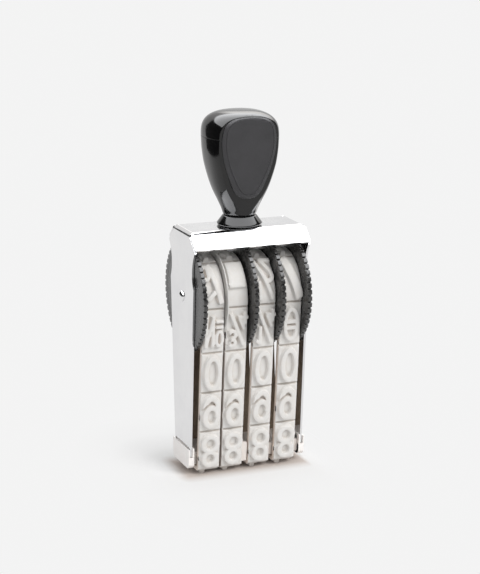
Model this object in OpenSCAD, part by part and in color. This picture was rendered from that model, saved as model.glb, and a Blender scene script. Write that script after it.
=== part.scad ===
// Four-band rotary numbering stamp: a chromed sheet frame, four rubber
// character bands on thumb wheels, and a screwed-on grip.
// Millimetres. X across the bands, -Y is the front, +Z up.
// The origin is on the table, under the middle of the stamp.

/* [Frame] */
// Outer width of the frame across its side plates
frame_w = 59.2; // [58.8:0.1:59.6]
// Height of the top plate above the table
frame_top = 120.7; // [120.5:0.1:122]
// Sheet thickness
sheet = 1.1; // [1:0.1:1.2]
// Half depth of the flat top plate
top_half = 11.2; // [10.8:0.1:11.6]
// Half depth at the lower edge of the lips
lip_half = 18.5; // [18:0.1:19]
// Height of the lips' lower edge
lip_z = 113.6; // [113:0.1:114]
// Half depth of a side plate at its foot
foot_half = 10.7; // [10.4:0.1:10.8]

/* [Axle and wheels] */
// Height of the axle
axle_z = 87.8; // [87.6:0.1:88]
// Axle diameter
axle_d = 5; // [4.6:0.1:5.2]
// Radial running clearance of a wheel on the axle
run_clear = 0.05; // [0.03:0.01:0.08]
// Thumb wheel radius over the serrations
wheel_r = 27.3; // [27:0.1:27.5]
// Thumb wheel thickness
wheel_w = 1.85; // [1.7:0.05:1.85]
// Serrations round a thumb wheel
teeth = 54; // [50:2:60]
// Drum radius that carries a band
drum_r = 16.4; // [16.1:0.1:16.5]

/* [Bands] */
// Width of a band
band_w = 10.8; // [10.6:0.1:10.9]
// Inner radius of a band over its drum
band_r = 16.7; // [16.6:0.1:16.8]
// Thickness of the woven lining
lining_t = 0.6; // [0.5:0.1:0.7]
// Thickness of a band without its characters
band_t = 2.8; // [2.6:0.1:2.8]
// Height of the raised characters
relief = 1.7; // [1.5:0.1:1.7]
// Length of a cell with a digit
pitch = 20.2; // [20:0.1:20.3]
// Length of a cell with a special sign
sign_pitch = 22; // [21.8:0.1:22.2]
// Stroke width of a character
stroke = 2.3; // [2:0.1:2.5]

/* [Grip] */
// Height of the grip above the top plate
grip_h = 55.4; // [54:0.2:57]
// Height of the parting seam above the top plate
seam_h = 43; // [42:0.5:44]
// Half width of the grip at its widest
grip_half = 17.7; // [17:0.1:18.2]
// Wall of the hollow grip
grip_wall = 2.2; // [2:0.1:2.6]

/* [Hidden] */
$fn = 64;

// centres of the four bands and of the four thumb wheels along X
band_x = [-20.5, -8.6, 5.6, 19.2];
wheel_x = [-27.45, -1.45, 12.3, 25.7];
plate_in = frame_w / 2 - sheet;          // inner face of a side plate
axle_r = axle_d / 2;
bend_r = 2.2;                            // outer radius of the side bends

// band loop: legs from the foot up to the drum
foot_y = 9.4;                            // inner half depth at the foot
base_z = relief;                         // underside of the bands' base
in_z = base_z + band_t;                  // inner surface at the foot
leg_d = sqrt(pow(foot_y, 2) + pow(axle_z - in_z, 2));
leg_len = sqrt(pow(leg_d, 2) - pow(band_r, 2));
lean = asin(band_r / leg_d) - atan(foot_y / (axle_z - in_z));
leg_s0 = 11.6;                           // path length from the middle of the foot to a leg
arc_mm = (10 * pitch + 2 * sign_pitch - 2 * (leg_s0 + leg_len)) / (180 + 2 * lean);
cell_len = [for (k = [0:11]) (k == 4 || k == 5) ? sign_pitch : pitch];
function cell_start(k) = k == 0 ? -pitch / 2 : cell_start(k - 1) + cell_len[k - 1];

// ---------- helpers ----------
// 2D drawing in the YZ plane, extruded from x0 to x1
module along_x(x0, x1) {
  translate([x0, 0, 0]) rotate([90, 0, 90]) linear_extrude(x1 - x0) children();
}
module bar(x1, y1, x2, y2, w = stroke) {
  l = sqrt(pow(x2 - x1, 2) + pow(y2 - y1, 2));
  translate([x1, y1]) rotate(atan2(y2 - y1, x2 - x1)) translate([0, -w / 2]) square([l, w]);
}
// round outlines of the characters, as short straight sides
module disc(r) { polygon([for (i = [0:23]) [r * cos(15 * i + 7.5), r * sin(15 * i + 7.5)]]); }
module oval(w, h) {
  r = w / 2;
  polygon([for (i = [0:23]) let (a = 15 * i + 7.5) [r * cos(a), r * sin(a) + (i < 12 ? h / 2 - r : r - h / 2)]]);
}
module ring(r) { difference() { disc(r); disc(r - stroke); } }
module ring_part(r, x, y, w, h) { intersection() { ring(r); translate([x, y]) square([w, h]); } }

// ---------- characters, 17.6 tall, head towards +y ----------
module sign_0() { difference() { oval(8.8, 17.6); oval(8.8 - 2 * stroke, 17.6 - 2 * stroke); } }
module sign_1() { bar(0, -8.8, 0, 8.8); bar(-0.6, 7.6, -3.2, 5.4, 1.9); }
module sign_2() {
  translate([0, 4.4]) ring_part(4.4, -5, -0.2, 10, 5.2);
  bar(3.1, 4.4, -3.2, -7.2, stroke - 0.2);
  bar(-4.4, -7.65, 4.4, -7.65);
}
module sign_3() {
  translate([0, 4.5]) ring_part(4.3, -1.5, -5, 7, 10);
  translate([0, -4.1]) ring_part(4.7, -1.3, -5, 7, 10);
}
module sign_4() { bar(1.4, 8.2, -3.6, -3, stroke - 0.3); bar(-4.7, -3.4, 4.4, -3.4); bar(2, -8.8, 2, 8.8); }
module sign_5() {
  bar(-3.4, 7.65, 4, 7.65); bar(-3.1, 8.6, -3.1, 0.4, stroke - 0.1);
  translate([0, -4.1]) ring_part(4.7, -1.7, -5, 7, 10);
  bar(-3.6, 0.6, 0.3, -0.6, stroke - 0.4);
}
module sign_6() {
  translate([0, -4.4]) ring(4.4);
  bar(-3.2, -4.4, -3.2, 4.6, stroke - 0.15);
  translate([0, 4.4]) ring_part(4.4, -5, 0.1, 10, 5);
}
module sign_7() { bar(-4.4, 7.65, 4.4, 7.65); bar(3.2, 7.4, -2.3, -7.4, stroke - 0.1); bar(-2.4, -6.4, -2.4, -8.8); }
module sign_8() { translate([0, 4.7]) ring(4.1); translate([0, -4.05]) ring(4.75); }
module sign_9() { rotate(180) sign_6(); }
module sign_slash() { bar(-3.6, -8.2, 3.6, 8.2); }
module sign_dash() { square([8, 2.6], center = true); }
module sign_number() { bar(-4, -7, -4, 7, 1.7); bar(-3.9, 6.6, -0.1, -6.6, 1.6); bar(0, -7, 0, 7, 1.7);
  translate([3.2, 1]) difference() { disc(2.1); disc(0.9); } translate([1.4, -3.4]) square([3.6, 1.6]); }
module sign_fraction() { bar(-3.4, -8, 3.4, 8, 1.7); bar(-3.8, 1, -3.8, 8, 1.7); bar(3.9, -8, 3.9, -1, 1.7); }
module sign_coin() { difference() { oval(8.8, 15); oval(8.8 - 2 * stroke, 15 - 2 * stroke); translate([2.1, -2.9]) square([4, 5.8]); }
  bar(-4.7, 1.6, 1.5, 1.6, 1.6); bar(-4.7, -1.6, 1.5, -1.6, 1.6); }
module sign_loop() { translate([0, 4.6]) ring(3.8); translate([0, -3.3]) ring(4.8); }

// character of cell k on band b, with cell 0 at the foot
module glyph(b, k) {
  if (k == 0) sign_7(); if (k == 1) sign_8(); if (k == 2) sign_9(); if (k == 3) sign_0();
  if (k == 6) sign_1(); if (k == 7) sign_2(); if (k == 8) sign_3(); if (k == 9) sign_4();
  if (k == 10) sign_5(); if (k == 11) sign_6();
  if (k == 4) { if (b == 0) sign_number(); if (b == 1 || b == 2) sign_fraction(); if (b == 3) sign_coin(); }
  if (k == 5) { if (b == 0) sign_loop(); if (b == 1) sign_dash(); if (b == 2) sign_fraction(); if (b == 3) sign_slash(); }
}

// place at path length s on the band's inner surface: local z outward, local y towards the foot's back
module on_path(s) {
  arc = 180 + 2 * lean;
  total = 10 * pitch + 2 * sign_pitch;
  s2 = s > total / 2 + 4 ? s - total : s;
  f = leg_s0 + leg_len;
  if (s2 >= f || s > f && s <= total / 2 + 4) {
    a = -lean + (s - f) / arc_mm;        // angle above the front horizontal
    translate([0, -band_r * cos(a), axle_z + band_r * sin(a)]) rotate([90 - a, 0, 0]) mirror([0, 1, 0]) children();
  } else if (s2 <= -f) {
    a = 180 + lean - (-s2 - f) / arc_mm;
    translate([0, -band_r * cos(a), axle_z + band_r * sin(a)]) rotate([90 - a, 0, 0]) mirror([0, 1, 0]) children();
  } else if (s2 > leg_s0) {
    translate([0, -foot_y, in_z]) rotate([90 + lean, 0, 0]) translate([0, s2 - leg_s0, 0]) mirror([0, 1, 0]) children();
  } else if (s2 < -leg_s0) {
    mirror([0, 1, 0]) translate([0, -foot_y, in_z]) rotate([90 + lean, 0, 0]) translate([0, -s2 - leg_s0, 0]) children();
  } else {
    translate([0, -s2, in_z]) rotate([180, 0, 0]) mirror([0, 1, 0]) children();
  }
}

// outline of the band loop, a distance o outside its inner surface
module loop_outline(o, corner) {
  r = band_r + o;
  ty = r * cos(lean); tz = axle_z - r * sin(lean);
  zb = in_z - o;
  yb = foot_y - o * tan(lean) + o / cos(lean);
  translate([0, axle_z]) circle(r, $fn = 96);
  polygon([[-ty, tz], [-yb - corner * tan(lean), zb + corner], [-yb + corner, zb], [yb - corner, zb],
    [yb + corner * tan(lean), zb + corner], [ty, tz]]);
}

// ---------- frame ----------
module side_outline() {
  difference() {
    polygon([[-top_half, frame_top], [top_half, frame_top], [lip_half, lip_z], [lip_half, 94.5], [15.7, 94.5],
      [foot_half, 13.9], [foot_half - 0.3, 9.3], [foot_half - 1.5, 9.3], [foot_half - 1.4, 13.9],
      [-foot_half + 1.4, 13.9], [-foot_half + 1.5, 9.3], [-foot_half + 0.3, 9.3], [-foot_half, 13.9],
      [-15.7, 94.5], [-lip_half, 94.5], [-lip_half, lip_z]]);
    for (m = [-1, 1]) translate([m * 29.9, 101.8]) circle(16, $fn = 96);
  }
}
module roof_outline() {
  dl = sqrt(pow(lip_half - top_half, 2) + pow(frame_top - lip_z, 2));
  ny = (frame_top - lip_z) / dl; nz = (lip_half - top_half) / dl;
  iy = top_half - sheet * ny + (sheet - sheet * nz) * nz / ny;
  polygon([[-top_half, frame_top], [top_half, frame_top], [lip_half, lip_z],
    [lip_half - sheet * ny, lip_z - sheet * nz], [iy, frame_top - sheet], [-iy, frame_top - sheet],
    [-lip_half + sheet * ny, lip_z - sheet * nz], [-lip_half, lip_z]]);
}
module bend_envelope() {
  w = frame_w / 2;
  rotate([90, 0, 0]) linear_extrude(60, center = true) {
    translate([-w, 0]) square([2 * w, frame_top - bend_r]);
    translate([-w + bend_r, frame_top - bend_r]) circle(bend_r);
    translate([w - bend_r, frame_top - bend_r]) circle(bend_r);
    translate([-w + bend_r, 0]) square([2 * w - 2 * bend_r, frame_top]);
  }
}
module frame() {
  w = frame_w / 2;
  color([0.86, 0.86, 0.87]) difference() {
    intersection() {
      union() {
        along_x(-w, w) roof_outline();
        along_x(-w, -w + sheet) side_outline();
        along_x(w - sheet, w) side_outline();
      }
      bend_envelope();
    }
    along_x(-w - 1, w + 1) translate([0, axle_z]) circle(axle_r + 0.03);
    translate([0, 0, frame_top - 3]) cylinder(h = 6, r = 2.7);
  }
}

// ---------- foot ----------
module shoe() {
  w = frame_w / 2;
  y0 = 11.4; y1 = 10.9;
  difference() {
    union() {
      // outer block below the plate's edge
      along_x(-w - 0.9, -w + 2)
        polygon([[-y0, 13.4], [-y1, 5.3], [-y1 + 1.6, 3.5], [y1 - 1.6, 3.5], [y1, 5.3], [y0, 13.4]]);
    }
    // notches for the plate's two tabs
    for (m = [-1, 1]) translate([-w - 2, m > 0 ? foot_half - 1.7 : -foot_half - 1.3, 9]) cube([3.2, 3, 6]);
    // room for the plate
    translate([-w - 0.05, -20, 13.2]) cube([sheet + 0.1, 40, 4]);
    // pocket for the nose bar
    translate([-w + 0.4, -3.7, 5.8]) cube([3, 7.4, 4.4]);
  }
}
module left_shoe() { color([0.86, 0.85, 0.84]) shoe(); }
module right_shoe() { color([0.86, 0.85, 0.84]) mirror([1, 0, 0]) shoe(); }
module nose_bar() {
  x = frame_w / 2 - 2.05;
  color([0.84, 0.82, 0.79]) {
    difference() {
      union() {
        along_x(-x, x) polygon([[-8.2, in_z + 0.2], [8.2, in_z + 0.2], [9.1, in_z + 1.1], [9.5, 11.5], [-9.5, 11.5], [-9.1, in_z + 1.1]]);
        // guide fin between the second and third bands
        along_x(-3.05, -0.45) polygon([[-11.3, 4.2], [11.3, 4.2], [12.2, 14.2], [-12.2, 14.2]]);
      }
      // hollow under the ribs
      along_x(-x + 2, -4.1) polygon([[-7, in_z + 2.4], [7, in_z + 2.4], [7.4, 12], [-7.4, 12]]);
      along_x(2, x - 2) polygon([[-7, in_z + 2.4], [7, in_z + 2.4], [7.4, 12], [-7.4, 12]]);
    }
    for (m = [-1, 1]) translate([m > 0 ? x : -x - 1.5, -3.5, 6]) cube([1.5, 7, 4]);
  }
}

// ---------- axle group ----------
module axle() {
  w = frame_w / 2;
  color([0.7, 0.7, 0.71]) {
    along_x(-w - 0.05, w + 0.05) translate([0, axle_z]) circle(axle_r);
    for (m = [0, 1]) mirror([m, 0, 0]) translate([w, 0, axle_z]) rotate([0, 90, 0])
      rotate_extrude() intersection() { translate([0, -4.6]) circle(5.5); square([3.1, 4]); }
  }
}
module axle_washer() {
  color([0.75, 0.75, 0.76]) along_x(26.75, 28.4) translate([0, axle_z]) difference() { circle(5); circle(axle_r + 0.1); }
}
module divider_disc() {
  color([0.85, 0.85, 0.84]) along_x(-14.8, -14.3) translate([0, axle_z]) difference() { circle(23, $fn = 96); circle(axle_r + 0.1); }
}
module tooth_ring() {
  p = 360 / teeth;
  polygon([for (i = [0:teeth - 1]) for (q = [[-0.36, 0], [-0.2, 0.0], [0, 0.05], [0.2, 0], [0.36, 0], [0.44, 0.8], [0.56, 0.8]])
    let (a = (i + q[0]) * p, r = wheel_r - q[1]) [r * cos(a), r * sin(a)]]);
}
module band_wheel(i) {
  wx = wheel_x[i]; bx = band_x[i];
  s = i == 0 ? 1 : -1;                    // side of the wheel that carries the drum
  x0 = i == 0 ? wx + wheel_w / 2 - 0.2 : bx - band_w / 2 + 0.05;
  x1 = i == 0 ? bx + band_w / 2 - 0.05 : wx - wheel_w / 2 + 0.2;
  color([0.13, 0.13, 0.13]) difference() {
    union() {
      translate([0, 0, axle_z]) along_x(wx - wheel_w / 2, wx + wheel_w / 2) tooth_ring();
      translate([0, 0, axle_z]) along_x(x0, x1) circle(drum_r, $fn = 96);
    }
    translate([0, 0, axle_z]) along_x(-40, 40) circle(axle_r + run_clear);
    // hollow behind the drum's skin, open on the side away from the wheel
    translate([0, 0, axle_z]) along_x(s > 0 ? x0 + 2 : x0 - 1, s > 0 ? x1 + 1 : x1 - 2)
      difference() { circle(drum_r - 2); circle(axle_r + 2.2); }
  }
}
module band_wheel_1() { band_wheel(0); }
module band_wheel_2() { band_wheel(1); }
module band_wheel_3() { band_wheel(2); }
module band_wheel_4() { band_wheel(3); }

// ---------- bands ----------
module band_lining(i) {
  x = band_x[i] - band_w / 2;
  color([0.33, 0.26, 0.2]) along_x(x, x + band_w) difference() { loop_outline(lining_t, 0.9); loop_outline(0, 0.6); }
}
module number_band(i) {
  x = band_x[i] - band_w / 2;
  total = 10 * pitch + 2 * sign_pitch;
  f = leg_s0 + leg_len;
  color([0.86, 0.85, 0.82]) {
    difference() {
      along_x(x, x + band_w) difference() { loop_outline(band_t, 1.4); loop_outline(lining_t, 0.9); }
      // grooves between the cells
      for (k = [2:11]) on_path(cell_start(k)) translate([x - 1, -0.6, band_t - 0.8]) cube([band_w + 2, 1.2, 4]);
    }
    // characters on the straight runs and the foot
    for (k = [0, 1, 2, 3, 4, 8, 9, 10, 11]) on_path(cell_start(k) + cell_len[k] / 2)
      translate([band_x[i], 0, band_t - 0.3]) linear_extrude(relief + 0.3) glyph(i, k);
    // characters bent round the drum
    intersection() {
      union() for (k = [5, 6, 7]) on_path(cell_start(k) + cell_len[k] / 2)
        translate([band_x[i], 0, -band_r * 0.62]) linear_extrude(band_r) glyph(i, k);
      translate([0, 0, axle_z]) along_x(x, x + band_w) difference() { circle(band_r + band_t + relief, $fn = 96); circle(band_r + band_t - 0.3, $fn = 96); }
    }
  }
}
module number_band_1() { number_band(0); }
module number_band_2() { number_band(1); }
module number_band_3() { number_band(2); }
module number_band_4() { number_band(3); }
module band_lining_1() { band_lining(0); }
module band_lining_2() { band_lining(1); }
module band_lining_3() { band_lining(2); }
module band_lining_4() { band_lining(3); }

// ---------- grip ----------
// half width of the grip at height h above the top plate, below the seam
grip_tab = [[5, 7.3], [5.5, 7.9], [8, 8.8], [11.7, 10.4], [16.5, 12.6], [20, 13.9], [23.8, 15], [27.5, 15.9],
  [31, 16.6], [34.5, 17.1], [38.3, 17.5], [43, 17.7]];
grip_levels = [for (q = grip_tab) q[0]];
function tab(t, h, i = 0) = i >= len(t) - 2 || h <= t[i + 1][0]
  ? t[i][1] + (t[i + 1][1] - t[i][1]) * (h - t[i][0]) / (t[i + 1][0] - t[i][0]) : tab(t, h, i + 1);
function grip_r(h) = (h <= seam_h ? tab(grip_tab, min(h, 43)) : 17.7 * pow(1 - pow((h - seam_h) / (grip_h - seam_h), 3), 1 / 3)) * grip_half / 17.7;
function grip_n(h) = 2 + 0.6 * min(1, max(0, (h - 8) / 22));
face_slope = 0.173;
function face_y(h) = 7.2 + (h - 6) * face_slope;
NP = 48;
function sgn_pow(v, e) = (v < 0 ? -1 : 1) * pow(abs(v), e);
function section(h, dz, r, n, f) = [for (i = [0:NP - 1]) let (a = 360 * i / NP, x = r * sgn_pow(cos(a), 2 / n), y = r * sgn_pow(sin(a), 2 / n))
  [x, max(-f, min(f, y)), frame_top + dz]];
function out_ring(h) = section(h, h, grip_r(h), grip_n(h), face_y(h));
function in_ring(h) = section(h, h, grip_r(h) - grip_wall, grip_n(h), face_y(h) - grip_wall);
function round_ring(h, r) = section(h, h, r, 2, r + 1);
function flat(l) = [for (a = l) for (b = a) b];
// closed tube: the rings follow one another and the last joins the first
module ring_tube(rings) {
  m = len(rings);
  polyhedron(points = flat(rings), faces = flat([for (j = [0:m - 1]) flat([for (i = [0:NP - 1])
    let (i2 = (i + 1) % NP, j2 = (j + 1) % m) [[j * NP + i, j2 * NP + i, j2 * NP + i2], [j * NP + i, j2 * NP + i2, j * NP + i2]]])]), convexity = 6);
}
// closed skin from one pole to the other
module ring_skin(rings, p0, p1) {
  m = len(rings);
  polyhedron(points = concat(flat(rings), [p0, p1]), faces = concat(
    flat([for (j = [0:m - 2]) flat([for (i = [0:NP - 1])
      let (i2 = (i + 1) % NP) [[j * NP + i, (j + 1) * NP + i, (j + 1) * NP + i2], [j * NP + i, (j + 1) * NP + i2, j * NP + i2]]])]),
    [for (i = [0:NP - 1]) [m * NP, i, (i + 1) % NP]],
    [for (i = [0:NP - 1]) [m * NP + 1, (m - 1) * NP + (i + 1) % NP, (m - 1) * NP + i]]), convexity = 6);
}
module handle_neck() {
  color([0.05, 0.05, 0.05]) translate([0, 0, frame_top]) rotate_extrude()
    polygon([[2.7, 0], [10, 0], [10.7, 0.5], [10.9, 1], [10.5, 1.7], [8.3, 4.7], [7.9, 5], [2.7, 5]]);
}
module handle_body() {
  levels = [for (h = grip_levels) if (h < seam_h - 0.1) h];
  inner = [40, 36, 31, 26, 21, 19];
  color([0.05, 0.05, 0.05]) ring_tube(concat([for (h = levels) out_ring(h)], [out_ring(seam_h), in_ring(seam_h)],
    [for (h = inner) in_ring(h)], [round_ring(17.5, 6.5), round_ring(17.5, 3.5), round_ring(5, 3.5)]));
}
module handle_cap() {
  o = [0.0, 0.18, 0.36, 0.52, 0.66, 0.78, 0.87, 0.94, 0.98];
  d = grip_h - seam_h;
  ti = [0.86, 0.72, 0.5, 0.25, 0.0];
  color([0.05, 0.05, 0.05]) ring_skin(concat(
    [for (j = [len(o) - 1:-1:0]) let (h = seam_h + 0.05 + o[j] * (d - 0.05)) section(h, h, grip_r(h), 2.6, face_y(h))],
    [for (j = [len(ti) - 1:-1:0]) let (h = seam_h + 0.05 + ti[j] * (d - grip_wall)) section(h, h, 15.4 * pow(1 - pow(ti[j], 3), 1 / 3), 2.6, face_y(seam_h) - grip_wall)]),
    [0, 0, frame_top + grip_h], [0, 0, frame_top + grip_h - grip_wall]);
}
// teardrop panel on the sloping front face of the grip
panel_tab = [[14.4, 0.6], [15.2, 3.4], [17.2, 6], [22, 9.3], [30, 12.1], [38, 13.2], [43.5, 13.2], [47.5, 12], [50.2, 9.2], [51.6, 5.6], [52.1, 1]];
module panel() {
  t = atan(face_slope);
  translate([0, -7.2, frame_top + 6]) rotate([90 + t, 0, 0]) linear_extrude(1)
    polygon(concat([for (q = panel_tab) [q[1], (q[0] - 6) / cos(t)]],
      [for (i = [len(panel_tab) - 1:-1:0]) [-panel_tab[i][1], (panel_tab[i][0] - 6) / cos(t)]]));
}
module front_panel() { color([0.22, 0.22, 0.23]) panel(); }
module back_panel() { color([0.22, 0.22, 0.23]) mirror([0, 1, 0]) panel(); }
module threaded_insert() {
  color([0.72, 0.58, 0.3]) translate([0, 0, frame_top + 5.2]) difference() { cylinder(h = 11.8, r = 3.4); translate([0, 0, -1]) cylinder(h = 14, r = 2.53); }
}
module handle_screw() {
  color([0.72, 0.72, 0.73]) {
    translate([0, 0, frame_top - sheet - 0.8]) cylinder(h = 17.5, r = 2.5);
    translate([0, 0, frame_top - sheet - 3.4]) difference() { cylinder(h = 2.6, r = 4.4); translate([0, 0, -1]) cylinder(h = 2.4, r = 2, $fn = 6); }
  }
}
module screw_washer() {
  color([0.72, 0.72, 0.73]) translate([0, 0, frame_top - sheet - 0.8]) difference() { cylinder(h = 0.8, r = 6); translate([0, 0, -1]) cylinder(h = 3, r = 2.7); }
}

frame();
left_shoe();
right_shoe();
nose_bar();
axle();
axle_washer();
divider_disc();
band_wheel_1();
band_wheel_2();
band_wheel_3();
band_wheel_4();
number_band_1();
number_band_2();
number_band_3();
number_band_4();
band_lining_1();
band_lining_2();
band_lining_3();
band_lining_4();
handle_neck();
handle_body();
handle_cap();
front_panel();
back_panel();
threaded_insert();
handle_screw();
screw_washer();
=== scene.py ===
import math

import bmesh
import bpy
import numpy as np
from mathutils import Matrix, Vector
from mathutils.geometry import delaunay_2d_cdt


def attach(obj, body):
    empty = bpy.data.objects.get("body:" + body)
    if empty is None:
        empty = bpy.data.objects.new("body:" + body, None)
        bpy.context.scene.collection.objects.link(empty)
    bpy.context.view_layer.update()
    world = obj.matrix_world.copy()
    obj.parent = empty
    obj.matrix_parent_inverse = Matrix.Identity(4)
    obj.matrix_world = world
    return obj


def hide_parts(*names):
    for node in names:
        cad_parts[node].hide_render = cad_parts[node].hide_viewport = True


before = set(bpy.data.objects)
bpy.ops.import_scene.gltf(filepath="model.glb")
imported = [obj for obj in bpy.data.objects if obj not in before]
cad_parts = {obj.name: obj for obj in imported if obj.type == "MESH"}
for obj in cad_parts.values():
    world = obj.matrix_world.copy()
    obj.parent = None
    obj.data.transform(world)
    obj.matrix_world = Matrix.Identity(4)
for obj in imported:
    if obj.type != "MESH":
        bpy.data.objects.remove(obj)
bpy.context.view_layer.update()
MM = 0.001

# ---------------------------------------------------------------- dimensions, mm
W = 29.6            # half width of the frame
TOP = 120.7         # top plate above the table
SHEET = 1.1
AXLE_Z = 87.8
BAND_X = [-20.5, -8.6, 5.6, 19.2]
WHEEL_X = [-27.45, -1.45, 12.3, 25.7]
BAND_W = 10.8
BH = BAND_W / 2
BAND_R = 16.7
LINING = 0.6
BAND_T = 2.8
RELIEF = 1.7
FOOT_Y = 9.4
IN_Z = RELIEF + BAND_T
PITCH, SIGN_PITCH = 20.2, 22.0
LEG_S0 = 11.6
_d = math.hypot(FOOT_Y, AXLE_Z - IN_Z)
LEG_LEN = math.sqrt(_d * _d - BAND_R ** 2)
LEAN = math.asin(BAND_R / _d) - math.atan(FOOT_Y / (AXLE_Z - IN_Z))
TOTAL = 10 * PITCH + 2 * SIGN_PITCH
ARC_MM = (TOTAL - 2 * (LEG_S0 + LEG_LEN)) / (math.pi + 2 * LEAN)   # path length per radian
CELL_LEN = [SIGN_PITCH if k in (4, 5) else PITCH for k in range(12)]
CELL_S = [-PITCH / 2]
for k in range(11):
    CELL_S.append(CELL_S[-1] + CELL_LEN[k])


# ---------------------------------------------------------------- mesh helpers
def make_object(name, verts, faces, mat, body, nodes, sharp=38.0, weighted=False, weld=0.002, mats=None, face_mats=None, flat_sides=False):
    """A closed mesh piece in millimetres that rides on a CAD body and stands for CAD nodes."""
    me = bpy.data.meshes.new(name)
    me.from_pydata([tuple(float(c) * MM for c in v) for v in verts], [], [tuple(int(i) for i in f) for f in faces])
    me.validate()
    if face_mats is not None and len(me.polygons) == len(face_mats):
        me.polygons.foreach_set("material_index", face_mats)
    bm = bmesh.new()
    bm.from_mesh(me)
    bmesh.ops.remove_doubles(bm, verts=bm.verts, dist=weld * MM)
    bmesh.ops.dissolve_degenerate(bm, dist=0.0005 * MM, edges=bm.edges)
    bmesh.ops.recalc_face_normals(bm, faces=bm.faces)
    bm.edges.ensure_lookup_table()
    rim = [i for i, e in enumerate(bm.edges) if flat_sides and len(e.link_faces) == 2
           and (abs(e.link_faces[0].normal.x) > 0.9995) != (abs(e.link_faces[1].normal.x) > 0.9995)]
    bm.to_mesh(me)
    bm.free()
    me.polygons.foreach_set("use_smooth", [True] * len(me.polygons))
    me.set_sharp_from_angle(angle=math.radians(sharp))
    for i in rim:
        me.edges[i].use_edge_sharp = True
    for m in (mats or [mat]):
        me.materials.append(m)
    ob = bpy.data.objects.new(name, me)
    bpy.context.scene.collection.objects.link(ob)
    if weighted:
        mod = ob.modifiers.new("weighted", "WEIGHTED_NORMAL")
        mod.keep_sharp = True
        mod.weight = 90
    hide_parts(*nodes)
    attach(ob, body)
    return ob


def area(loop):
    x, y = loop[:, 0], loop[:, 1]
    return 0.5 * float(np.sum(x * np.roll(y, -1) - np.roll(x, -1) * y))


def offset(loop, d):
    """Moves a closed loop to its left by d; a counter-clockwise loop shrinks."""
    p, n = np.roll(loop, 1, 0), np.roll(loop, -1, 0)
    e1, e2 = loop - p, n - loop
    e1 = e1 / np.maximum(np.linalg.norm(e1, axis=1), 1e-9)[:, None]
    e2 = e2 / np.maximum(np.linalg.norm(e2, axis=1), 1e-9)[:, None]
    n1 = np.stack([-e1[:, 1], e1[:, 0]], 1)
    n2 = np.stack([-e2[:, 1], e2[:, 0]], 1)
    m = n1 + n2
    k = np.sum(m * n1, 1)
    return loop + d * m / np.maximum(k, 0.35)[:, None]


def inside(pts, loops):
    """Even-odd test of points against closed loops."""
    x, y = pts[:, 0], pts[:, 1]
    hit = np.zeros(len(pts), bool)
    for lp in loops:
        x1, y1 = lp[:, 0], lp[:, 1]
        x2, y2 = np.roll(x1, -1), np.roll(y1, -1)
        for a, b, c, d in zip(x1, y1, x2, y2):
            if b == d:
                continue
            cross = ((b > y) != (d > y)) & (x < (c - a) * (y - b) / (d - b) + a)
            hit ^= cross
    return hit


def triangulate(loops, points=(), lines=()):
    """Constrained triangles inside the loops. Returns points, triangles and the ordered boundary loops as indices."""
    vs, es = [], []
    for lp in loops:
        b = len(vs)
        vs += [Vector((float(p[0]), float(p[1]))) for p in lp]
        es += [(b + i, b + (i + 1) % len(lp)) for i in range(len(lp))]
    for ln in lines:
        b = len(vs)
        vs += [Vector((float(p[0]), float(p[1]))) for p in ln]
        es += [(b + i, b + i + 1) for i in range(len(ln) - 1)]
    vs += [Vector((float(p[0]), float(p[1]))) for p in points]
    v, e, f, _, _, _ = delaunay_2d_cdt(vs, es, [], 0, 1e-5)
    v = np.array([(q[0], q[1]) for q in v])
    t = np.array([q for q in f if len(q) == 3], int)
    c = v[t].mean(1)
    t = t[inside(c, [np.asarray(lp, float) for lp in loops])]
    a = v[t]
    ar = 0.5 * ((a[:, 1, 0] - a[:, 0, 0]) * (a[:, 2, 1] - a[:, 0, 1]) - (a[:, 2, 0] - a[:, 0, 0]) * (a[:, 1, 1] - a[:, 0, 1]))
    t = t[np.abs(ar) > 1e-9]
    ar = ar[np.abs(ar) > 1e-9]
    t[ar < 0] = t[ar < 0][:, ::-1]
    nxt = {}
    seen = set()
    for q in t:
        for i in range(3):
            seen.add((q[i], q[(i + 1) % 3]))
    for a0, b0 in seen:
        if (b0, a0) not in seen:
            nxt[a0] = b0
    borders = []
    while nxt:
        s, _ = next(iter(nxt.items()))
        lp = []
        while s in nxt:
            lp.append(s)
            s = nxt.pop(s)
        borders.append(lp)
    return v, t, borders


def slab(loops, thick, fold, bevel=0.15, lines=(), points=(), back_bevel=None):
    """A sheet of a flat outline with rounded edges, put in space by fold(points, depth)."""
    bb = bevel if back_bevel is None else back_bevel
    v, t, borders = triangulate(loops, points, lines)
    verts, faces = [], []

    def add(p2, depth):
        b = len(verts)
        verts.extend(fold(np.asarray(p2, float), depth))
        return b

    f0 = add(v, 0.0)
    f1 = add(v, thick)
    faces += [(f0 + a, f0 + b, f0 + c) for a, b, c in t]
    faces += [(f1 + a, f1 + c, f1 + b) for a, b, c in t]
    for lp in borders:
        pts = v[lp]
        steps = [(0.0, 0.0)]
        if bevel > 0:
            steps += [(0.62 * bevel, 0.12 * bevel), (0.88 * bevel, 0.38 * bevel), (bevel, bevel)]
        if bb > 0:
            steps += [(bb, thick - bb), (0.88 * bb, thick - 0.38 * bb), (0.62 * bb, thick - 0.12 * bb)]
        steps += [(0.0, thick)]
        rows = []
        for j, (o, d) in enumerate(steps):
            if j == 0:
                rows.append([f0 + i for i in lp])
            elif j == len(steps) - 1:
                rows.append([f1 + i for i in lp])
            else:
                b = add(offset(pts, -o), d)
                rows.append(list(range(b, b + len(lp))))
        n = len(lp)
        for r0, r1 in zip(rows, rows[1:]):
            faces += [(r0[i], r1[i], r1[(i + 1) % n], r0[(i + 1) % n]) for i in range(n)]
    return verts, faces


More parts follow.
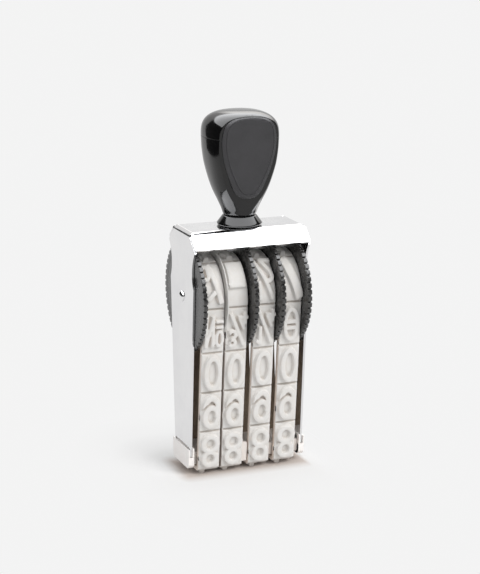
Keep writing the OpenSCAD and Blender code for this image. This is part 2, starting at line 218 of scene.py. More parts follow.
def prism_x(loops, x0, x1, bevel=0.15, lines=(), points=()):
    """Extrudes (y, z) loops along X with rounded rims."""
    def fold(p, d):
        return np.stack([np.full(len(p), x0 + d), p[:, 0], p[:, 1]], 1)
    return slab([offset(np.asarray(lp, float), bevel) if bevel > 0 else np.asarray(lp, float) for lp in loops], x1 - x0, fold, bevel, lines, points)


def join(parts):
    verts, faces = [], []
    for v, f in parts:
        b = len(verts)
        verts.extend(list(v))
        faces.extend([tuple(b + i for i in q) for q in f])
    return verts, faces


def circle(cy, cz, r, n=96, cw=False):
    a = np.linspace(0, 2 * math.pi, n, endpoint=False)
    p = np.stack([cy + r * np.cos(a), cz + r * np.sin(a)], 1)
    return p[::-1] if cw else p


def revolve_x(profile, n=96, cz=AXLE_Z, cy=0.0):
    """Turns a closed (x, r) profile about the axle."""
    prof = np.asarray(profile, float)
    m = len(prof)
    a = np.linspace(0, 2 * math.pi, n, endpoint=False)
    verts = [(p[0], cy + p[1] * math.cos(t), cz + p[1] * math.sin(t)) for t in a for p in prof]
    faces = [(i * m + j, i * m + (j + 1) % m, ((i + 1) % n) * m + (j + 1) % m, ((i + 1) % n) * m + j) for i in range(n) for j in range(m)]
    return verts, faces


def revolve_z(profile, n=96, z0=0.0):
    prof = np.asarray(profile, float)
    m = len(prof)
    a = np.linspace(0, 2 * math.pi, n, endpoint=False)
    verts = [(p[0] * math.cos(t), p[0] * math.sin(t), z0 + p[1]) for t in a for p in prof]
    faces = [(i * m + j, i * m + (j + 1) % m, ((i + 1) % n) * m + (j + 1) % m, ((i + 1) % n) * m + j) for i in range(n) for j in range(m)]
    return verts, faces


def tube_rings(rings, closed=True):
    """Skins a list of rings with equal counts. If closed, the last joins the first."""
    n = len(rings[0])
    verts = [tuple(p) for r in rings for p in r]
    m = len(rings)
    faces = []
    for j in range(m if closed else m - 1):
        a, b = j * n, ((j + 1) % m) * n
        faces += [(a + i, b + i, b + (i + 1) % n, a + (i + 1) % n) for i in range(n)]
    return verts, faces


# ---------------------------------------------------------------- materials
def node_mat(name):
    m = bpy.data.materials.new(name)
    m.use_nodes = True
    nt = m.node_tree
    nt.nodes.clear()
    out = nt.nodes.new("ShaderNodeOutputMaterial")
    sh = nt.nodes.new("ShaderNodeBsdfPrincipled")
    nt.links.new(sh.outputs["BSDF"], out.inputs["Surface"])
    return m, nt, sh


def N(nt, kind, **props):
    n = nt.nodes.new(kind)
    for k, v in props.items():
        setattr(n, k, v)
    return n


def coords(nt, stretch=(1, 1, 1)):
    tc = N(nt, "ShaderNodeTexCoord")
    mp = N(nt, "ShaderNodeMapping")
    mp.inputs["Scale"].default_value = stretch
    nt.links.new(tc.outputs["Object"], mp.inputs["Vector"])
    return mp.outputs["Vector"]


def noise(nt, vec, scale, detail=4.0, rough=0.55):
    n = N(nt, "ShaderNodeTexNoise")
    n.inputs["Scale"].default_value = scale
    n.inputs["Detail"].default_value = detail
    n.inputs["Roughness"].default_value = rough
    nt.links.new(vec, n.inputs["Vector"])
    return n.outputs["Fac"]


def ramp(nt, fac, stops):
    r = N(nt, "ShaderNodeValToRGB")
    e = r.color_ramp.elements
    while len(e) < len(stops):
        e.new(0.5)
    for el, (p, c) in zip(e, stops):
        el.position = p
        el.color = (*c, 1) if len(c) == 3 else c
    nt.links.new(fac, r.inputs["Fac"])
    return r.outputs["Color"]


def mathn(nt, op, a, b=None):
    n = N(nt, "ShaderNodeMath", operation=op)
    for i, q in enumerate((a, b)):
        if q is None:
            continue
        if isinstance(q, (int, float)):
            n.inputs[i].default_value = q
        else:
            nt.links.new(q, n.inputs[i])
    return n.outputs[0]


def maprange(nt, v, a, b, c, d):
    n = N(nt, "ShaderNodeMapRange")
    nt.links.new(v, n.inputs["Value"])
    for k, q in zip(("From Min", "From Max", "To Min", "To Max"), (a, b, c, d)):
        n.inputs[k].default_value = q
    return n.outputs["Result"]


def mixc(nt, fac, a, b):
    n = N(nt, "ShaderNodeMix", data_type="RGBA")
    ins = [i for i in n.inputs if i.type == "RGBA"]
    fin = n.inputs[0]
    if isinstance(fac, (int, float)):
        fin.default_value = fac
    else:
        nt.links.new(fac, fin)
    for i, q in zip(ins, (a, b)):
        if isinstance(q, tuple):
            i.default_value = (*q, 1)
        else:
            nt.links.new(q, i)
    return [o for o in n.outputs if o.type == "RGBA"][0]


def bump(nt, sh, height, strength=0.3, dist=0.0001, normal=None):
    b = N(nt, "ShaderNodeBump")
    b.inputs["Strength"].default_value = strength
    b.inputs["Distance"].default_value = dist
    nt.links.new(height, b.inputs["Height"])
    if normal is not None:
        nt.links.new(normal, b.inputs["Normal"])
    nt.links.new(b.outputs["Normal"], sh.inputs["Normal"])
    return b.outputs["Normal"]


def speckle_mat(name, c1, c2, big=180.0, fine=2400.0, rough=(0.4, 0.55), metal=0.0, bump_s=0.15, bump_d=0.00004,
                coat=0.0, edge=None, spec=None, stretch=(1, 1, 1), dirt_and_crease_shade=None):
    """Two tones of one colour in soft patches, a fine grain in colour, roughness and bump, and lighter convex edges
    broken up by noise.
    """
    m, nt, sh = node_mat(name)
    v = coords(nt, stretch)
    a = noise(nt, v, big, 3.0)
    g = noise(nt, v, fine, 5.0)
    mixf = mathn(nt, "MULTIPLY_ADD", a, 0.75)
    nt.nodes[-1].inputs[2].default_value = 0.0
    f = mathn(nt, "ADD", mixf, mathn(nt, "MULTIPLY", g, 0.25))
    col = ramp(nt, f, [(0.35, c1), (0.65, c2)])
    if dirt_and_crease_shade:
        d = noise(nt, v, dirt_and_crease_shade[1], 6.0, 0.7)
        col = mixc(nt, ramp(nt, d, [(dirt_and_crease_shade[2], (0, 0, 0)), (min(dirt_and_crease_shade[2] + 0.12, 1.0), (1, 1, 1))]), col, dirt_and_crease_shade[0])
    if edge:
        geo = N(nt, "ShaderNodeNewGeometry")
        e = ramp(nt, geo.outputs["Pointiness"], [(edge[1], (0, 0, 0)), (edge[1] + 0.06, (1, 1, 1))])
        w = mathn(nt, "MULTIPLY", e, ramp(nt, noise(nt, v, 700.0, 5.0), [(0.42, (0.15, 0.15, 0.15)), (0.6, (1, 1, 1))]))
        col = mixc(nt, w, col, edge[0])
    nt.links.new(col, sh.inputs["Base Color"])
    nt.links.new(maprange(nt, f, 0.3, 0.7, rough[0], rough[1]), sh.inputs["Roughness"])
    sh.inputs["Metallic"].default_value = metal
    if coat:
        sh.inputs["Coat Weight"].default_value = coat
        sh.inputs["Coat Roughness"].default_value = 0.06
    if spec is not None:
        sh.inputs["Specular IOR Level"].default_value = spec
    bump(nt, sh, g, bump_s, bump_d)
    return m


def chrome_mat():
    m, nt, sh = node_mat("polished_chrome")
    v = coords(nt)
    a = noise(nt, v, 60.0, 3.0)
    g = noise(nt, v, 1500.0, 6.0, 0.6)
    s1 = noise(nt, coords(nt, (1, 30, 1)), 420.0, 2.0)
    s2 = noise(nt, coords(nt, (26, 1, 3)), 520.0, 2.0)
    scr = mathn(nt, "MAXIMUM", ramp(nt, s1, [(0.7, (0, 0, 0)), (0.78, (1, 1, 1))]), ramp(nt, s2, [(0.71, (0, 0, 0)), (0.8, (1, 1, 1))]))
    nt.links.new(ramp(nt, a, [(0.3, (0.80, 0.80, 0.81)), (0.7, (0.86, 0.86, 0.86))]), sh.inputs["Base Color"])
    sh.inputs["Metallic"].default_value = 1.0
    r = mathn(nt, "ADD", maprange(nt, a, 0.3, 0.7, 0.07, 0.12), mathn(nt, "MULTIPLY", scr, 0.10))
    nt.links.new(r, sh.inputs["Roughness"])
    h = mathn(nt, "SUBTRACT", mathn(nt, "MULTIPLY", g, 0.5), mathn(nt, "MULTIPLY", scr, 0.5))
    bump(nt, sh, h, 0.05, 0.00001)
    return m


def grip_mat():
    m, nt, sh = node_mat("gloss_black_plastic")
    v = coords(nt)
    a = noise(nt, v, 90.0, 3.0)
    g = noise(nt, v, 1100.0, 4.0)
    scr = ramp(nt, noise(nt, coords(nt, (3, 40, 3)), 260.0, 2.0), [(0.72, (0, 0, 0)), (0.8, (1, 1, 1))])
    nt.links.new(ramp(nt, a, [(0.3, (0.0025, 0.0025, 0.0028)), (0.7, (0.005, 0.0047, 0.0047))]), sh.inputs["Base Color"])
    nt.links.new(mathn(nt, "ADD", maprange(nt, g, 0.3, 0.7, 0.08, 0.13), mathn(nt, "MULTIPLY", scr, 0.08)), sh.inputs["Roughness"])
    sh.inputs["Specular IOR Level"].default_value = 0.5
    bump(nt, sh, mathn(nt, "SUBTRACT", mathn(nt, "MULTIPLY", a, 0.6), mathn(nt, "MULTIPLY", scr, 0.2)), 0.05, 0.00006)
    return m


def panel_mat():
    m, nt, sh = node_mat("matt_panel_plastic")
    v = coords(nt)
    a = noise(nt, v, 120.0, 3.0)
    vo = N(nt, "ShaderNodeTexVoronoi")
    vo.inputs["Scale"].default_value = 2600.0
    nt.links.new(v, vo.inputs["Vector"])
    g = mathn(nt, "ADD", vo.outputs["Distance"], mathn(nt, "MULTIPLY", noise(nt, v, 3500.0, 3.0), 0.4))
    nt.links.new(ramp(nt, a, [(0.3, (0.030, 0.0295, 0.0315)), (0.7, (0.037, 0.036, 0.039))]), sh.inputs["Base Color"])
    nt.links.new(maprange(nt, g, 0.2, 0.9, 0.42, 0.6), sh.inputs["Roughness"])
    bump(nt, sh, g, 0.22, 0.00004)
    return m


def rubber_mat():
    m, nt, sh = node_mat("type_rubber")
    v = coords(nt)
    a = noise(nt, v, 110.0, 4.0, 0.6)
    b = noise(nt, v, 420.0, 4.0)
    g = noise(nt, v, 5200.0, 3.0)
    base = ramp(nt, a, [(0.32, (0.675, 0.655, 0.63)), (0.5, (0.70, 0.685, 0.665)), (0.68, (0.71, 0.695, 0.68))])
    tint = ramp(nt, b, [(0.4, (0.68, 0.655, 0.62)), (0.62, (0.73, 0.725, 0.715))])
    col = mixc(nt, 0.35, base, tint)
    geo = N(nt, "ShaderNodeNewGeometry")
    # Painted shade in creases: low pointiness (concave feet of walls, hole floors) inside each band marks where the
    # colour is darkened towards (0.36, 0.345, 0.31).
    dirt_and_crease_shade = ramp(nt, geo.outputs["Pointiness"], [(0.40, (1, 1, 1)), (0.475, (0, 0, 0))])
    place = N(nt, "ShaderNodeSeparateXYZ")
    nt.links.new(v, place.inputs[0])
    mid = None
    for cx in BAND_X:
        one = mathn(nt, "ABSOLUTE", mathn(nt, "ADD", place.outputs["X"], -cx * MM))
        mid = one if mid is None else mathn(nt, "MINIMUM", mid, one)
    within = maprange(nt, mid, (BH - 0.75) * MM, (BH - 0.5) * MM, 1.0, 0.0)
    # The painted crease shade is mixed in at half strength, only away from the band edges.
    col = mixc(nt, mathn(nt, "MULTIPLY", mathn(nt, "MULTIPLY", dirt_and_crease_shade, within), 0.5), col, (0.36, 0.345, 0.31))
    # Painted shade in recesses: an ambient-occlusion mask darkens the colour towards a brownish (0.47, 0.415, 0.365)
    # inside holes and between strokes.
    ao = N(nt, "ShaderNodeAmbientOcclusion")
    ao.samples = 8
    ao.only_local = True
    ao.inputs["Distance"].default_value = 0.0022
    painted_recess_shade = mathn(nt, "MULTIPLY", maprange(nt, ao.outputs["AO"], 0.9, 0.35, 0.0, 0.75), maprange(nt, within, 0.0, 1.0, 0.35, 1.0))
    col = mixc(nt, painted_recess_shade, col, (0.47, 0.415, 0.365))
    # Side faces of the bands take a lighter, warmer colour. In the narrow gap between bands 1 and 2 they are painted
    # darker instead, as painted shade.
    side = N(nt, "ShaderNodeSeparateXYZ")
    nt.links.new(geo.outputs["Normal"], side.inputs[0])
    open_side = maprange(nt, mathn(nt, "ABSOLUTE", mathn(nt, "ADD", place.outputs["X"], 0.0145)), 0.0012, 0.0016, 0.0, 1.0)
    flank = maprange(nt, mathn(nt, "ABSOLUTE", side.outputs["X"]), 0.8, 0.97, 0.0, 1.0)
    col = mixc(nt, flank, col, mixc(nt, open_side, (0.50, 0.45, 0.42), (0.86, 0.775, 0.71)))
    nt.links.new(col, sh.inputs["Base Color"])
    nt.links.new(maprange(nt, b, 0.3, 0.7, 0.5, 0.66), sh.inputs["Roughness"])
    sh.inputs["Specular IOR Level"].default_value = 0.35
    n1 = bump(nt, sh, b, 0.08, 0.00006)
    bump(nt, sh, g, 0.12, 0.00002, n1)
    return m


def lining_mat():
    m, nt, sh = node_mat("woven_lining")
    v = coords(nt)
    sep = N(nt, "ShaderNodeSeparateXYZ")
    nt.links.new(v, sep.inputs[0])
    def stripes(src, per):
        return mathn(nt, "SINE", mathn(nt, "MULTIPLY", src, 2 * math.pi / per))
    warp = stripes(sep.outputs["X"], 0.00055)
    weft = stripes(mathn(nt, "ADD", sep.outputs["Z"], mathn(nt, "MULTIPLY", sep.outputs["Y"], 0.37)), 0.0006)
    w = mathn(nt, "MULTIPLY_ADD", mathn(nt, "MULTIPLY", warp, weft), 0.5)
    nt.nodes[-1].inputs[2].default_value = 0.5
    fuzz = noise(nt, v, 2600.0, 4.0)
    f = mathn(nt, "ADD", mathn(nt, "MULTIPLY", w, 0.7), mathn(nt, "MULTIPLY", fuzz, 0.35))
    nt.links.new(ramp(nt, f, [(0.2, (0.15, 0.112, 0.082)), (0.6, (0.38, 0.295, 0.22)), (0.9, (0.56, 0.46, 0.36))]), sh.inputs["Base Color"])
    nt.links.new(maprange(nt, fuzz, 0.3, 0.7, 0.75, 0.92), sh.inputs["Roughness"])
    sh.inputs["Sheen Weight"].default_value = 0.25
    bump(nt, sh, f, 0.7, 0.00015)
    return m


M_CHROME = chrome_mat()
M_GRIP = grip_mat()
M_PANEL = panel_mat()
M_RUBBER = rubber_mat()
M_LINING = lining_mat()
M_SHOE = speckle_mat("satin_shoe_metal", (0.90, 0.862, 0.837), (0.94, 0.915, 0.895), 150.0, 2600.0, (0.36, 0.48), 0.0, 0.12, 0.00003)
M_NOSE = speckle_mat("pale_nose_plastic", (0.72, 0.665, 0.625), (0.80, 0.75, 0.715), 140.0, 3000.0, (0.4, 0.55), 0.0, 0.14, 0.00003)
M_ZINC = speckle_mat("zinc_plated_steel", (0.50, 0.50, 0.51), (0.66, 0.66, 0.66), 500.0, 2500.0, (0.22, 0.36), 1.0, 0.12, 0.00003)
M_DISC = speckle_mat("pale_disc_plastic", (0.60, 0.59, 0.57), (0.68, 0.67, 0.65), 160.0, 2600.0, (0.35, 0.5), 0.0, 0.12, 0.00003)
M_WHEEL = speckle_mat("black_wheel_plastic", (0.017, 0.0165, 0.016), (0.028, 0.0265, 0.0255), 260.0, 2600.0, (0.22, 0.32), 0.0, 0.12, 0.00004, edge=((0.07, 0.07, 0.07), 0.54), spec=0.85)
M_BRASS = speckle_mat("insert_brass", (0.55, 0.38, 0.16), (0.70, 0.50, 0.24), 300.0, 2600.0, (0.25, 0.4), 1.0, 0.1, 0.00003)


# ---------------------------------------------------------------- frame: one folded sheet
BEND = 2.2
U_FLAT = W - BEND
ARC_U = BEND * math.pi / 2
LIP_A = math.atan2(7.1, 7.3)
LIP_R = 3.8
LIP_T = LIP_R * math.tan(LIP_A / 2)
V_FLAT = 11.2 - LIP_T
ARC_V = LIP_R * LIP_A
LIP_LEN = math.hypot(7.3, 7.1) - LIP_T


def fold_frame(p, depth):
    u, v = p[:, 0], p[:, 1]
    au, av = np.abs(u), np.abs(v)
    su, sv = np.sign(u), np.sign(v)
    x, y, z = u.copy(), v.copy(), np.full(len(p), TOP - depth)
    lip = (av > 11.12) & (au < W + 0.7) | (av > V_FLAT) & (au <= U_FLAT + 1e-6)
    side = (au > U_FLAT) & ~lip
    t = np.clip((au - U_FLAT) / BEND, 0, math.pi / 2)
    k = side
    x[k] = (su * (U_FLAT + (BEND - depth) * np.sin(t)))[k]
    z[k] = (TOP - BEND + (BEND - depth) * np.cos(t) - np.maximum(au - U_FLAT - ARC_U, 0))[k]
    t = np.clip((av - V_FLAT) / LIP_R, 0, LIP_A)
    r = np.maximum(av - V_FLAT - ARC_V, 0)
    k = lip
    y[k] = (sv * (V_FLAT + (LIP_R - depth) * np.sin(t) + r * math.cos(LIP_A)))[k]
    z[k] = (TOP - LIP_R + (LIP_R - depth) * np.cos(t) - r * math.sin(LIP_A))[k]
    return np.stack([x, y, z], 1)


def uz(z):
    return U_FLAT + ARC_U + (TOP - BEND - z)


v_end = V_FLAT + ARC_V + LIP_LEN
quarter = [(W - 0.9, v_end - 0.15), (W - 0.45, v_end - 0.3), (W - 0.2, v_end - 0.75), (W - 0.15, v_end - 1.4), (W - 0.15, 13.6), (W - 0.3, 12.7),
           (W - 0.8, 12.0), (W - 1.5, 11.55), (W - 2.5, 11.32), (W - 2.5, 11.14), (W - 1.9, 11.06), (W - 0.6, 10.98), (W + 0.9, 10.98), (uz(118.5), 11.1), (uz(118.3), 11.55),
           (uz(117.9), 12.1), (uz(113.2), 16.95), (uz(112.75), 17.45), (uz(112.3), 17.65), (uz(111.8), 17.25)]
for a in np.linspace(math.radians(141.5), math.radians(206.2), 16):
    quarter.append((uz(101.8 + 16 * math.sin(a)), 29.9 + 16 * math.cos(a)))
quarter += [(uz(94.75), 15.6), (uz(94.2), 15.72), (uz(93.4), 15.6), (uz(60.0), 13.54), (uz(14.3), 10.72), (uz(13.9), 10.55), (uz(9.5), 10.25), (uz(9.3), 10.0), (uz(9.3), 9.4),
            (uz(9.6), 9.2), (uz(13.6), 9.3), (uz(13.9), 9.0)]
q = np.array(quarter)
outer = np.concatenate([q, (q * [1, -1])[::-1], q * [-1, -1], (q * [-1, 1])[::-1]])
outer = outer if area(outer) > 0 else outer[::-1]
holes = [circle(0, 0, 2.7, 48, cw=True)]
for s in (1, -1):
    c = circle(0, 0, 2.53, 40, cw=True)
    holes.append(np.stack([s * uz(AXLE_Z) + c[:, 0], c[:, 1]], 1))
lines = []
for s in (1, -1):
    for i in range(0, 11):
        u = s * (U_FLAT + ARC_U * i / 10)
        lines.append([(u, -11.05), (u, 11.05)])
    for i in range(0, 9):
        vv = s * (V_FLAT + ARC_V * i / 8)
        lines.append([(-U_FLAT if i < 4 else -W - 0.2, vv), (U_FLAT if i < 4 else W + 0.2, vv)])
outline = [offset(outer, 0.12)] + [offset(h, 0.12) for h in holes]
fv, ff = slab(outline, SHEET, fold_frame, 0.12, lines)
make_object("folded_frame", fv, ff, M_CHROME, "stamp", ["frame"], sharp=44, weighted=True)

# ---------------------------------------------------------------- shoes, nose bar
def shoe_mesh(sign):
    x0, x1 = -W - 0.9, -W + 2
    prof = np.array([(-11.4, 13.3), (-11.33, 12.2), (-10.95, 5.6), (-10.75, 5.0), (-9.6, 3.75), (-9.2, 3.5), (9.2, 3.5), (9.6, 3.75), (10.75, 5.0), (10.95, 5.6),
                     (11.33, 12.2), (11.4, 13.3), (11.3, 13.4), (10.9, 13.4), (-10.9, 13.4), (-11.3, 13.4)])
    outer_wall = prism_x([prof], x0, -W - 0.36, 0.16)
    # inner block, let down round the plate's tabs
    prof2 = np.array([(-11.15, 9.1), (-10.9, 5.6), (-10.7, 5.1), (-9.2, 3.6), (9.2, 3.6), (10.7, 5.1), (10.9, 5.6), (11.15, 9.1), (11.0, 9.2), (-11.0, 9.2)])
    inner_wall = prism_x([prof2], -W - 0.6, x1, 0.12)
    middle = prism_x([np.array([(-9.0, 9.0), (9.0, 9.0), (9.0, 13.1), (-9.0, 13.1)])], -W - 0.02, x1, 0.1)
    # inner flange that stands up beside the plate
    prof3 = np.array([(-11.4, 13.4), (-11.0, 5.2), (-9.2, 3.6), (9.2, 3.6), (11.0, 5.2), (11.4, 13.4), (11.1, 14.0), (-11.1, 14.0)])
    flange = prism_x([prof3], x1 - 0.85, x1, 0.2)
    v, f = join([outer_wall, inner_wall, middle, flange])
    v = [(sign * p[0], p[1], p[2]) for p in v]
    return v, f


for sgn, nm in ((1, "left_shoe"), (-1, "right_shoe")):
    v, f = shoe_mesh(sgn)
    make_object("moulded_" + nm, v, f, M_SHOE, "stamp", [nm], sharp=40, weighted=True)

nx = W - 2.05
bar_prof = np.array([(-8.0, IN_Z + 0.2), (8.0, IN_Z + 0.2), (8.7, IN_Z + 0.5), (9.1, IN_Z + 1.2), (9.5, 11.2), (9.3, 11.5), (-9.3, 11.5), (-9.5, 11.2), (-9.1, IN_Z + 1.2), (-8.7, IN_Z + 0.5)])
bar = prism_x([bar_prof], -nx, nx, 0.2)
fin_prof = np.array([(-10.9, 4.2), (10.9, 4.2), (11.35, 4.6), (12.15, 13.7), (11.8, 14.2), (-11.8, 14.2), (-12.15, 13.7), (-11.35, 4.6)])
fin = prism_x([fin_prof], -3.05, -0.45, 0.2)
ten = [prism_x([np.array([(-3.5, 6.0), (3.5, 6.0), (3.5, 10.0), (-3.5, 10.0)])], a, b, 0.1) for a, b in ((-nx - 1.5, -nx + 0.2), (nx - 0.2, nx + 1.5))]
v, f = join([bar, fin] + ten)
make_object("nose_bar_with_fin", v, f, M_NOSE, "stamp", ["nose_bar"], sharp=40, weighted=True)

# ---------------------------------------------------------------- axle, washer, disc, hidden fasteners
def dome(x, r, h, s):
    pts = [(x, 0.0)]
    pr = []
    for i in range(9):
        a = math.pi / 2 * i / 8
        pr.append((x + s * h * math.cos(a) * 1.0, r * math.sin(a)))
    return pr


left = [(-W - 0.04 - 1.35 * math.cos(a), 2.7 * math.sin(a)) for a in np.linspace(0.02, math.pi / 2, 10)]
right = [(W + 0.04 + 1.35 * math.cos(a), 2.7 * math.sin(a)) for a in np.linspace(math.pi / 2, 0.02, 10)]
prof = left + [(-W - 0.02, 2.7), (-W - 0.02, 2.5), (W + 0.02, 2.5), (W + 0.02, 2.7)] + right
rows = prof
m = len(rows)
n = 64
vs, fs = [], []
for i in range(n):
    a = 2 * math.pi * i / n
    for (x, r) in rows:
        vs.append((x, r * math.cos(a), AXLE_Z + r * math.sin(a)))
for i in range(n):
    for j in range(m - 1):
        fs.append((i * m + j, i * m + j + 1, ((i + 1) % n) * m + j + 1, ((i + 1) % n) * m + j))
c0 = len(vs)
vs += [(rows[0][0] - 0.0005, 0, AXLE_Z), (rows[-1][0] + 0.0005, 0, AXLE_Z)]
for i in range(n):
    fs.append((c0, i * m, ((i + 1) % n) * m))
    fs.append((c0 + 1, ((i + 1) % n) * m + m - 1, i * m + m - 1))
make_object("riveted_axle", vs, fs, M_CHROME, "stamp", ["axle"], sharp=50)

v, f = revolve_x([(26.76, 2.6), (26.76, 4.85), (26.88, 5.0), (28.26, 5.0), (28.38, 4.85), (28.38, 2.6)], 64)
make_object("axle_spacer", v, f, M_ZINC, "stamp", ["axle_washer"])
v, f = revolve_x([(-14.8, 2.6), (-14.8, 21.6), (-14.86, 21.7), (-14.86, 22.8), (-14.78, 22.95), (-14.55, 23.0), (-14.32, 22.95), (-14.24, 22.8), (-14.24, 21.7), (-14.3, 21.6), (-14.3, 2.6)], 144)
make_object("parting_disc", v, f, M_DISC, "stamp", ["divider_disc"], sharp=50)

v, f = revolve_z([(0.0005, 18.1), (2.2, 18.1), (2.5, 17.8), (2.5, 0.01), (0.0005, 0.01)], 32, TOP - SHEET - 0.8)
head = revolve_z([(2.0, 0.0), (4.1, 0.0), (4.4, 0.3), (4.4, 2.4), (4.2, 2.6), (2.0, 2.6)], 48, TOP - SHEET - 3.4)
web = revolve_z([(0.0005, 1.4), (2.05, 1.4), (2.05, 2.61), (0.0005, 2.61)], 48, TOP - SHEET - 3.4)
vv, fq = join([(v, f), head, web])
make_object("grip_screw", vv, fq, M_ZINC, "stamp", ["handle_screw"])
v, f = revolve_z([(2.7, 0.0), (5.9, 0.0), (6.0, 0.1), (6.0, 0.7), (5.9, 0.8), (2.7, 0.8)], 64, TOP - SHEET - 0.8)
make_object("screw_spacer", v, f, M_ZINC, "stamp", ["screw_washer"])
v, f = revolve_z([(2.53, 0.0), (3.25, 0.0), (3.4, 0.15), (3.4, 5.5), (3.2, 5.7), (3.2, 6.3), (3.4, 6.5), (3.4, 11.65), (3.25, 11.8), (2.53, 11.8)], 48, TOP + 5.2)
make_object("brass_insert", v, f, M_BRASS, "stamp", ["threaded_insert"])


# ---------------------------------------------------------------- thumb wheels
def wheel_mesh(i):
    wx, bx = WHEEL_X[i], BAND_X[i]
    r = 27.3
    prof = []
    nt = 54
    p = 2 * math.pi / nt
    for k in range(nt):
        for q0, q1 in [(-0.355, 0.2), (-0.32, 0.05), (-0.2, 0.0), (0.0, 0.02), (0.2, 0.0), (0.32, 0.05), (0.355, 0.2), (0.385, 0.95), (0.415, 1.15), (0.585, 1.15), (0.615, 0.95)]:
            a = (k + q0) * p
            prof.append(((r - q1) * math.cos(a), AXLE_Z + (r - q1) * math.sin(a)))
    x0, x1 = wx - 0.925, wx + 0.925
    rim = prism_x([np.array(prof), circle(0, AXLE_Z, 23.6, 96, cw=True)], x0, x1, 0.16)
    web = revolve_x([(x0 + 0.06, 23.75), (x0 + 0.06, 6.2), (x0 + 0.02, 5.9), (x0 + 0.02, 2.55), (x1 - 0.02, 2.55), (x1 - 0.02, 5.9), (x1 - 0.06, 6.2), (x1 - 0.06, 23.75)], 96)
    s = 1 if i == 0 else -1
    if s > 0:
        d0, d1 = wx + 0.6, bx + BAND_W / 2 - 0.05
        drum = revolve_x([(d0, 14.4), (d0, 16.2), (d1 - 0.2, 16.4), (d1, 16.2), (d1, 14.4)], 96)
        hub = revolve_x([(d0, 2.55), (d0, 4.7), (d1 - 0.15, 4.7), (d1, 4.55), (d1, 2.55)], 48)
    else:
        d0, d1 = bx - BAND_W / 2 + 0.05, wx - 0.6
        drum = revolve_x([(d0, 14.4), (d0, 16.2), (d0 + 0.2, 16.4), (d1, 16.2), (d1, 14.4)], 96)
        hub = revolve_x([(d0, 2.55), (d0, 4.55), (d0 + 0.15, 4.7), (d1, 4.7), (d1, 2.55)], 48)
    return join([rim, web, drum, hub])


for i in range(4):
    v, f = wheel_mesh(i)
    make_object(f"thumb_wheel_{i + 1}", v, f, M_WHEEL, f"wheel_{i + 1}", [f"band_wheel_{i + 1}"], sharp=36, weighted=True)


# ---------------------------------------------------------------- characters as distance fields
def seg(X, Y, x1, y1, x2, y2, w):
    dx, dy = x2 - x1, y2 - y1
    ln = math.hypot(dx, dy)
    ux, uy = dx / ln, dy / ln
    px, py = X - (x1 + x2) / 2, Y - (y1 + y2) / 2
    a = np.abs(px * ux + py * uy) - ln / 2
    b = np.abs(-px * uy + py * ux) - w / 2
    return np.hypot(np.maximum(a, 0), np.maximum(b, 0)) + np.minimum(np.maximum(a, b), 0)


def oval(X, Y, cx, cy, w, h, t):
    r = (w - t) / 2
    k = max((h - w) / 2, 0)
    py = Y - cy
    py = py - np.clip(py, -k, k)
    return np.abs(np.hypot(X - cx, py) - r) - t / 2


def cut(d, *planes, X=None, Y=None):
    for nx_, ny_, c in planes:
        d = np.maximum(d, nx_ * X + ny_ * Y - c)
    return d


T = 2.3


def egg(X, Y, cx, cy, a, b):
    """Distance to an ellipse, close to its line."""
    px, py = X - cx, Y - cy
    k0 = np.hypot(px / a, py / b)
    k1 = np.maximum(np.hypot(px / a ** 2, py / b ** 2), 1e-6)
    return np.where(k0 < 1e-3, -min(a, b), k0 * (k0 - 1) / k1)


def eggs(X, Y, cx, cy, a, b, ha, hb, hy=0.0):
    return np.maximum(egg(X, Y, cx, cy, a, b), -egg(X, Y, cx, cy + hy, ha, hb))


def g0(X, Y):
    return eggs(X, Y, 0.05, 0, 4.5, 8.85, 2.4, 6.4)


def g1(X, Y):
    return np.minimum(seg(X, Y, 0.2, -8.8, 0.2, 8.8, T), seg(X, Y, 0.2, 7.5, -3.0, 5.3, 1.9))


def g2(X, Y):
    a = cut(oval(X, Y, 0, 4.4, 8.8, 8.8, T), (0, -1, -4.3), X=X, Y=Y)
    a = np.minimum(a, cut(oval(X, Y, 0, 4.4, 8.8, 8.8, T), (-1, 0, -1.5), (0, -1, -2.6), X=X, Y=Y))
    b = seg(X, Y, 3.1, 2.4, -3.1, -6.9, T)
    return np.minimum(np.minimum(a, b), seg(X, Y, -4.4, -7.65, 4.4, -7.65, T))


def g3(X, Y):
    a = cut(oval(X, Y, 0, 4.45, 8.5, 8.7, T), (-1, -0.6, -1.2), X=X, Y=Y)
    b = cut(oval(X, Y, 0, -4.0, 9.1, 9.6, T), (-1, 0.6, -1.0), X=X, Y=Y)
    return np.minimum(np.minimum(a, b), seg(X, Y, -0.9, 0.45, 1.6, 0.45, 2.1))


def g4(X, Y):
    return np.minimum(np.minimum(seg(X, Y, 1.3, 8.3, -3.7, -2.9, 2.1), seg(X, Y, -4.7, -3.5, 4.6, -3.5, 2.2)), seg(X, Y, 1.9, -8.8, 1.9, 3.0, T))


def g5(X, Y):
    a = np.minimum(seg(X, Y, -3.4, 7.65, 4.1, 7.65, T), seg(X, Y, -3.1, 8.6, -3.4, 0.3, 2.2))
    b = cut(oval(X, Y, 0, -3.3, 9.2, 10.9, T), (-1, 0.4, -0.4), X=X, Y=Y)
    return np.minimum(np.minimum(a, b), seg(X, Y, -3.9, 0.4, -0.2, 1.4, 1.9))


def g9(X, Y):
    loop = egg(X, Y, 0, 2.35, 4.45, 6.05)
    ring_ = np.maximum(loop, -egg(X, Y, 0.1, 2.35, 2.05, 3.55))
    hook = eggs(X, Y, 0, -2.9, 4.45, 5.6, 1.9, 3.05)
    low = np.maximum(hook, Y + 2.6)
    left_ = np.maximum(np.maximum(hook, Y + 0.3), X + 0.4)
    hook2 = np.maximum(np.minimum(low, left_), np.where(X < 1.9, 1.2 - loop, -9.0))
    right_ = np.maximum(np.abs(X - 3.17) - 1.28, np.abs(Y + 0.3) - 2.9)
    return np.minimum(np.minimum(ring_, hook2), right_)


